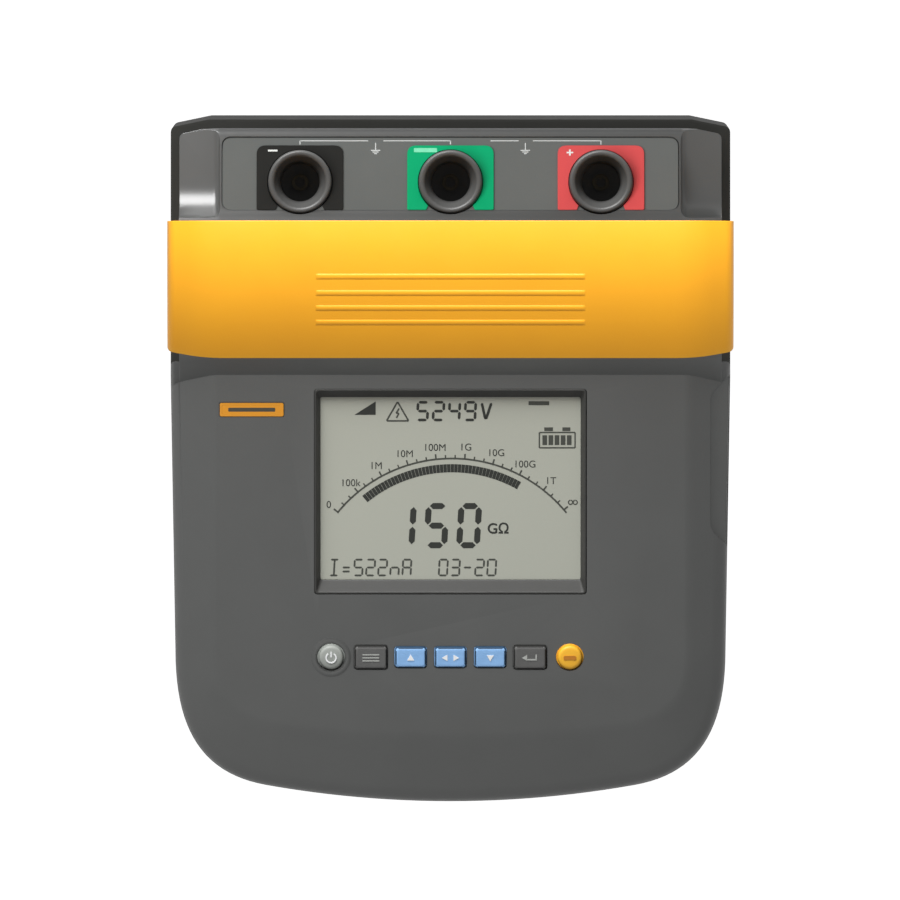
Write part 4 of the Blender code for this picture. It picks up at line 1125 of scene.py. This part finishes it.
def display_scale(plane):
    """The fine arc with its ticks, figures and infinity sign."""
    arc_start, arc_step = math.radians(-51.4), math.radians(4.283)
    tick_start, tick_step = math.radians(-51), math.radians(11.2 / 3)
    marks = []
    for i in range(24):
        start = arc_start + i * arc_step
        marks.append(arc_band(SCALE_CENTRE, 62.4 * MM, 0.75 * MM, start, start + arc_step, 2))
    for i in range(28):
        angle = tick_start + i * tick_step
        figure, between = divmod(i, 3)
        reach, width = (63.9 * MM, 0.6 * MM) if between else (64.6 * MM, 0.7 * MM)
        ends = [clock_point(SCALE_CENTRE, r, angle) for r in (62.7 * MM, reach)]
        marks.append(bar(*ends, width, 0))
        if between:
            continue
        x, y = clock_point(SCALE_CENTRE, 67.4 * MM, angle)
        if figure < len(SCALE_FIGURES):
            label(f"display_scale_{figure}", SCALE_FIGURES[figure], 4.3 * MM, (x, y), plane)
            continue
        for side in (-1, 1):
            marks.append(arc_band((x + side * MM, y), 0.9 * MM, 0.5 * MM, 0, math.radians(350), 16))
    return marks


def make_display():
    width, height, _, v = panel_extent("display_window")
    low, high = on_panel("display_window")
    window = plate("display_glass", width, height, 1 * MM, (0, v), low.z, high.z, PANEL)
    finish_piece(smooth(window), FILM, "case", "display_window", slot="display_film")
    plane = PANEL @ Matrix.Translation((0, v, high.z))

    strong = readout("150", -24.1, -24.6, 16.9, 13.9, 7.5, 2.6)
    strong += readout("5249V", -14.2, 29.4, 7.6, 6.75, 4.3, 1.15)
    strong.append([(x * MM, y * MM) for x, y in ((-40.8, 31.6), (-31.8, 31.6), (-31.8, 37.4))])
    bar_start, bar_step, bar_gap = (math.radians(a) for a in (-39.5, 1.5, 0.11))
    for i in range(46):
        start = bar_start + i * bar_step
        strong.append(arc_band(SCALE_CENTRE, 58.2 * MM, 3.5 * MM, start, start + bar_step - bar_gap, 2))
    finish_piece(slabs("display_readings", strong, PRINT_LOW, PRINT_HIGH, plane), SEGMENT, "case")

    pale = readout("I=522nA", -51.4, -37.6, 6.8, 5.15, 3.5, 0.8)
    pale += readout("03-20", -5, -37.6, 6.8, 5.15, 3.5, 0.8)
    pale += strokes([(33.2, 36.6), (42, 36.6)], 1.7)
    pale += display_scale(plane)
    pale += strokes([(-27.2, 29), (-17.8, 29), (-22.5, 37.2), (-27.2, 29)], 0.7, 0.3)
    pale += strokes([(-21.8, 34.4), (-23.2, 32.2)], 0.7, 0.3)
    pale += strokes([(-23.2, 32.3), (-21.9, 32.3)], 0.6, 0.3)
    pale += strokes([(-21.9, 32.4), (-23, 30.2)], 0.7, 0.3)
    left, right, bottom, top = 37.8, 53, 17.4, 24
    pale += strokes([(left, bottom), (right, bottom), (right, top), (left, top), (left, bottom)], 0.6)
    pale += strokes([(39.9, 25.4), (43.6, 25.4)], 1.6) + strokes([(47.6, 25.4), (51, 25.4)], 1.6)
    for i in range(5):
        middle = left + 2.3 + i * 2.6
        pale += strokes([(middle, bottom + 1.2), (middle, top - 1.2)], 2)
    finish_piece(slabs("display_scale", pale, PRINT_LOW, PRINT_HIGH, plane), SEGMENT_PALE, "case")
    label("display_unit", "GΩ", 6.2 * MM, (20.3 * MM, -17.6 * MM), plane, 0.12 * MM)


def make_nameplate():
    """A blank nameplate: amber with a raised border round a sunken field, and a plain dark stripe."""
    width, height, x, v = panel_extent("nameplate")
    border, field_z = 0.9 * MM, 0.35 * MM
    name_plate = plate("blank_nameplate", width, height, 0.8 * MM, (x, v), -0.2 * MM, 0.5 * MM, PANEL)
    size = (width - 2 * border, height - 2 * border)
    cut(name_plate, plate("field_cut", *size, 0.6 * MM, (x, v), field_z, 2 * MM, PANEL))
    finish_moulding(name_plate, 0.12 * MM, 2, AMBER, "nameplate", "nameplate_amber")
    size = (20 * MM, 1.7 * MM)
    stripe = plate("nameplate_stripe", *size, 0.5 * MM, (x, v), field_z, field_z + PRINT, PANEL)
    finish_piece(stripe, DARK_INK, "case")


# ---- keys


def power_sign(size):
    line = 0.28 * size
    ring = arc_band((0, 0), size, line, math.radians(35), math.radians(325), 28)
    return [ring, bar((0, 0.1 * size), (0, 1.25 * size), line, 0)]


def triangle_sign(size, turn, x=0):
    points = [(-0.8, -0.6), (0.8, -0.6), (0, 0.8)]
    c, s = math.cos(turn), math.sin(turn)
    return [(x + size * (c * a - s * b), size * (s * a + c * b)) for a, b in points]


def key_signs(name):
    """Outlines of the plain sign on a key, and its ink."""
    quarter = math.pi / 2
    if name == "power_button":
        return power_sign(2.1 * MM), ARROW_INK
    if name == "function_button":
        return sum((strokes([(-3.6, y), (3.6, y)], 0.5) for y in (1.3, 0, -1.3)), []), WHITE_INK
    if name == "enter_button":
        arrow = strokes([(2.6, 1.4), (2.6, -0.8)], 0.6) + strokes([(2.9, -0.8), (-1.6, -0.8)], 0.6)
        return arrow + [triangle_sign(1.6 * MM, quarter, -2.2 * MM)], WHITE_INK
    if name == "up_button":
        return [triangle_sign(1.9 * MM, 0)], ARROW_INK
    if name == "down_button":
        return [triangle_sign(1.9 * MM, 2 * quarter)], ARROW_INK
    if name == "left_right_button":
        return [triangle_sign(1.7 * MM, -way * quarter, way * 2.3 * MM) for way in (-1, 1)], ARROW_INK
    return [rounded_rectangle(5.4 * MM, 1.8 * MM, 0.8 * MM)], BROWN_INK


def round_key(name, base, flange_top, top):
    radius = key_size(name)[0] / 2
    crown = 0.5 * MM if name == "power_button" else 0.35 * MM
    profile = rounded(
        [(0, top), (radius - 0.5 * MM, top - crown), (radius, top - 1.5 * MM), (radius, flange_top)],
        [0, 1.2 * MM, 0.5 * MM, 0], 6, False,
    )
    profile += [(radius + ROUND_FLANGE, flange_top), (radius + ROUND_FLANGE, base), (0, base)]
    return lathe(name + "_cap", profile, button_matrix(name))


def square_key(name, base, flange_top, top):
    """A key with a flange below, rounded shoulders and a slightly dished top."""
    width, height = key_size(name)
    rings = []
    for z, across, along in (
        (base, 2 * KEY_FLANGE, 2 * KEY_FLANGE), (flange_top, 2 * KEY_FLANGE, 2 * KEY_FLANGE),
        (flange_top, 0, 0), (top - 1 * MM, 0, 0), (top - 0.5 * MM, -0.4 * MM, -0.4 * MM),
        (top - 0.15 * MM, -1.2 * MM, -1.2 * MM), (top - 0.02 * MM, -2.2 * MM, -2.2 * MM),
        (top - 0.12 * MM, -5 * MM, -4 * MM),
    ):
        rings.append(at_height(rounded_rectangle(width + across, height + along, 1.4 * MM), z))
    return loft(name + "_cap", rings, button_matrix(name))


def make_key(name, material, slot):
    low, high = on_panel(name)
    shape = round_key if name in ROUND_BUTTONS else square_key
    key = shape(name, low.z, low.z + 1.2 * MM, high.z)
    finish_piece(smooth(key, 40), material, name, name, slot=slot)
    # The key's sides take the darker material: painted shade for the gap round the key.
    if material in PAINTED_KEY_SIDE_SHADES:
        key.data.materials.append(PAINTED_KEY_SIDE_SHADES[material])
        for face in key.data.polygons:
            face.material_index = 0 if face.normal.z > 0.8 else 1
    outlines, ink = key_signs(name)
    sign = slabs(name + "_sign", outlines, high.z - 0.3 * MM, high.z + 0.04 * MM, button_matrix(name))
    finish_piece(sign, ink, name)


def make_keys():
    for name, material, slot in (
        ("power_button", BUTTON_LIGHT, "button_light"),
        ("function_button", BUTTON_GREY, "button_grey"),
        ("up_button", BUTTON_BLUE, "button_blue"),
        ("left_right_button", BUTTON_BLUE, "button_blue"),
        ("down_button", BUTTON_BLUE, "button_blue"),
        ("enter_button", BUTTON_GREY, "button_grey"),
        ("test_button", BUTTON_AMBER, "button_amber"),
    ):
        make_key(name, material, slot)


# ---- handle


def barrel(name, radius, end_radius, end_x, facet_x, rounding):
    """A barrel about the pivot axis; its section is a rounded chain of cones."""
    half = [(0, end_x), (end_radius - 4 * MM, end_x), (end_radius, end_x - 1.2 * MM), (radius, facet_x)]
    radii = [0, 2 * MM, 2.5 * MM, rounding]
    profile = rounded(half + [(r, -x) for r, x in reversed(half)], radii + radii[::-1], 6, False)
    return lathe(name, profile, pivot_axis(1), 360)


def around_pivot(degrees, radius):
    return clock_point((PIVOT.y, PIVOT.z), radius, math.radians(degrees))


def make_handle():
    """A barrel-shaped band cut to a wedge from the side, with holes for the pivot pins."""
    outer = barrel("handle_grip", HANDLE_RADIUS, HANDLE_END_RADIUS, HANDLE_HALF_WIDTH, 104 * MM, 9 * MM)
    inner_radius = HANDLE_RADIUS - HANDLE_THICKNESS
    inner_end = (HANDLE_END_RADIUS - HANDLE_THICKNESS, HANDLE_HALF_WIDTH - ARM_THICKNESS)
    cut(outer, barrel("handle_hollow", inner_radius, *inner_end, 102 * MM, 6 * MM))
    outline = [around_pivot(a, ARM_FOOT_RADIUS) for a in range(90, 271, 6)]
    outline += [around_pivot(a, 1.15 * HANDLE_RADIUS) for a in (HANDLE_FRONT, HANDLE_REAR)]
    boolean(outer, "INTERSECT", side_prism("handle_side_view", outline, FAR))
    hole = [(0, 130), (8.6, 130), (8.6, 120.4), (8, 119.8), (8, 118), (5, 118), (5, 100), (0, 100)]
    for side in (-1, 1):
        turn = pivot_axis(side) @ Matrix.Rotation(math.radians(2.3), 4, "Z")
        cut(outer, lathe("arm_hole", [(r * MM, z * MM) for r, z in hole], turn, 48))
    bake(outer)
    soften(outer, 1 * MM, 3, 40)
    bake(outer)
    for angle in RIB_ANGLES:
        spot = Matrix.Translation(PIVOT) @ Matrix.Rotation(math.radians(-angle), 4, "X")
        join(outer, grip_rib(spot @ Matrix.Translation((0, 0, HANDLE_RADIUS))))
    bake(outer)
    finish_piece(smooth(outer, 40), HANDLE, "handle", "handle_shell", slot="handle_yellow")

    angles = [LINER_FRONT + (LINER_REAR - LINER_FRONT) * i / 40 for i in range(41)]
    outline = [around_pivot(a, inner_radius - GAP) for a in angles]
    outline += [around_pivot(a, inner_radius - LINER_THICKNESS) for a in reversed(angles)]
    liner = soften(side_prism("grip_liner", outline, 98 * MM), 1.5 * MM, 4, 40)
    bake(liner)
    finish_piece(smooth(liner), LINER, "handle", "handle_grip_liner", slot="rubber")


def grip_rib(spot):
    """A shallow rounded rib with tapering ends, lying along the width."""
    half, width, rise, root = 57 * MM, 1.15 * MM, 0.32 * MM, -1 * MM
    taper = ((0, 0.25), (0.5 * MM, 0.7), (1.4 * MM, 1))
    places = [(inset - half, share) for inset, share in taper]
    places += [(half - inset, share) for inset, share in reversed(taper)]
    rings = []
    for x, share in places:
        arch = [math.pi * i / 8 for i in range(9)]
        section = [(x, -width * math.cos(a), rise * share * math.sin(a)) for a in arch]
        rings.append([(x, -width, root)] + section + [(x, width, root)])
    return loft("grip_rib", rings, spot)


# ---- carried-over CAD nodes

NODE_LOOKS = {
    "jack_contact": DARK_METAL, "keypad_mat": SILICONE, "keypad_board": BOARD_GREEN,
    "main_board": BOARD_GREEN, "high_voltage_board": BOARD_BLUE, "transformer_core": STEEL,
    "capacitor": CAPACITOR, "charger_module": STEEL, "battery_pack": BATTERY, "battery_bracket": STEEL,
    "buzzer": BLACK_PLASTIC, "mains_inlet": BLACK_PLASTIC, "shutter_rail": BLACK_PLASTIC,
    "infrared_window": INFRARED, "pivot_pin": STEEL, "pivot_nut": STEEL, "case_screw": STEEL,
    "inlet_shutter": SHUTTER, "lcd_module": MODULE,
}


def dress_nodes():
    """Gives every CAD node that stays its material and flat shading; the inlet, its shutter and its rail
    also get soft edges.
    """
    for name, obj in frame["nodes"].items():
        look = next((look for key, look in NODE_LOOKS.items() if name.startswith(key)), None)
        if look is None:
            continue
        obj.data.materials.clear()
        obj.data.materials.append(look)
        if name in ("shutter_rail", "inlet_shutter", "mains_inlet"):
            soften(obj, 0.25 * MM, 2, 40)
        for polygon in obj.data.polygons:
            polygon.use_smooth = False


# ---- stage


def make_stage():
    """A white bench that glows a little, so that shadows on it stay faint."""
    bm = bmesh.new()
    bmesh.ops.create_grid(bm, x_segments=2, y_segments=2, size=12)
    floor = from_bmesh("bench", bm)
    n = Nodes(bpy.data.materials.new("bench_surface"))
    seen = n.add("LightPath").outputs["Is Camera Ray"]
    floor.data.materials.append(n.finish(
        Base_Color=n.mix(n.noise(3, 2), (0.78, 0.78, 0.78), (0.82, 0.82, 0.82)),
        Roughness=0.9,
        Specular_IOR_Level=0.1,
        Emission_Strength=n.ramp(seen, 0.4, 0.9),
        Emission_Color=(1, 1, 1),
    ))
    floor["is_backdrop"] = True


def add_light(name, direction, distance, size, energy, target=(0, 0, 80 * MM)):
    """A square soft box that faces a target from a direction."""
    data = bpy.data.lights.new(name, "AREA")
    data.shape = "SQUARE"
    data.size = size
    data.energy = energy
    aim = Vector(direction).normalized()
    place = Matrix.Translation(Vector(target) + aim * distance)
    return add_object(name, data, place @ aim.to_track_quat("Z", "Y").to_matrix().to_4x4())


def link_light(light, lit=(), blocking=()):
    """Limits which pieces a light falls on and which of them cast its shadows."""
    links = light.light_linking
    for name, chosen in (("receiver", lit), ("blocker", blocking)):
        if not chosen:
            continue
        group = bpy.data.collections.new(f"{light.name}_{name}")
        for obj in chosen:
            group.objects.link(obj)
        setattr(links, name + "_collection", group)


def make_glint(name, direction, distance, size, energy, target, margin):
    """A light seen only as a reflection, on surfaces about as far from it as its target."""
    light = add_light(name, direction, distance, size, energy, target)
    light.visible_diffuse = False
    n = Nodes(light.data)
    length = n.add("LightPath").outputs["Ray Length"]
    n.finish(Strength=n.calculate("COMPARE", length, distance, margin))
    return light


def make_world():
    """An even room, brighter to the camera than to the object."""
    world = bpy.data.worlds.new("studio")
    n = Nodes(world)
    seen = n.add("LightPath").outputs["Is Camera Ray"]
    n.finish(Color=(1, 1, 1), Strength=n.ramp(seen, 0.34, 1))
    bpy.context.scene.world = world


def make_lights():
    """A rear box for the handle and one for the fittings, an overhead one for the case, and a glint.

    Large pieces cast no shadows from these boxes, and the fittings' box doesn't reach the inside.
    """
    pieces = list(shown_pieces())
    large = ("upper_case", "handle_grip", "grip_liner", "lower_case", "bench")
    small = [obj for obj in pieces if obj.name not in large]
    upper = [obj for obj in pieces if obj.name == "upper_case"]
    handle = [obj for obj in pieces if obj.name == "handle_grip"]
    shells = ("upper_case", "lower_case", "terminal_panel", "terminal_inlay", "blank_nameplate")
    case = [obj for obj in pieces if obj.name.startswith(shells)]
    seen_nodes = ("pivot_pin", "case_screw", "inlet_shutter")
    inside = tuple(name for name in NODE_LOOKS if not name.startswith(seen_nodes))
    fittings = [obj for obj in pieces if obj not in case + handle and not obj.name.startswith(inside)]

    link_light(add_light("rear_for_handle", (-0.05, 0.85, 0.52), 1.3, 0.9, 36.5), handle, small)
    link_light(add_light("rear_for_fittings", (-0.3, 0.8, 0.52), 1.3, 0.8, 29), fittings, small)
    overhead = add_light("overhead_for_case", (-0.34, 0.2, 0.93), 0.8, 0.5, 3.8)
    overhead.visible_glossy = False
    link_light(overhead, case, small)
    scoop = (-107 * MM, 108 * MM, 120 * MM)
    glint = make_glint("glint_for_scoop", (-0.36, 0.9, 0.22), 0.35, 0.19, 2.1, scoop, 0.06)
    link_light(glint, upper, small)


def make_camera():
    """A straight view down from far away, so that it shows nearly no perspective."""
    distance, field = 15.0, 384.1 * MM
    data = bpy.data.cameras.new("camera")
    data.sensor_width = 36
    data.lens = data.sensor_width * distance / field
    data.clip_end = 40
    place = (-0.2 * MM, 3.4 * MM, PARTING_Z + distance)
    bpy.context.scene.camera = add_object("camera", data, Matrix.Translation(place))
    bpy.context.scene.view_settings.view_transform = "Standard"


make_top_shell()
make_bottom_shell()
make_feet()
make_terminal_panel()
for jack in JACK_NAMES:
    make_inlay(jack)
    make_jack(jack)
make_terminal_prints()
make_bezel()
make_display()
make_nameplate()
make_keys()
make_handle()
dress_nodes()
drop_cutters()
make_stage()
make_world()
make_lights()
make_camera()
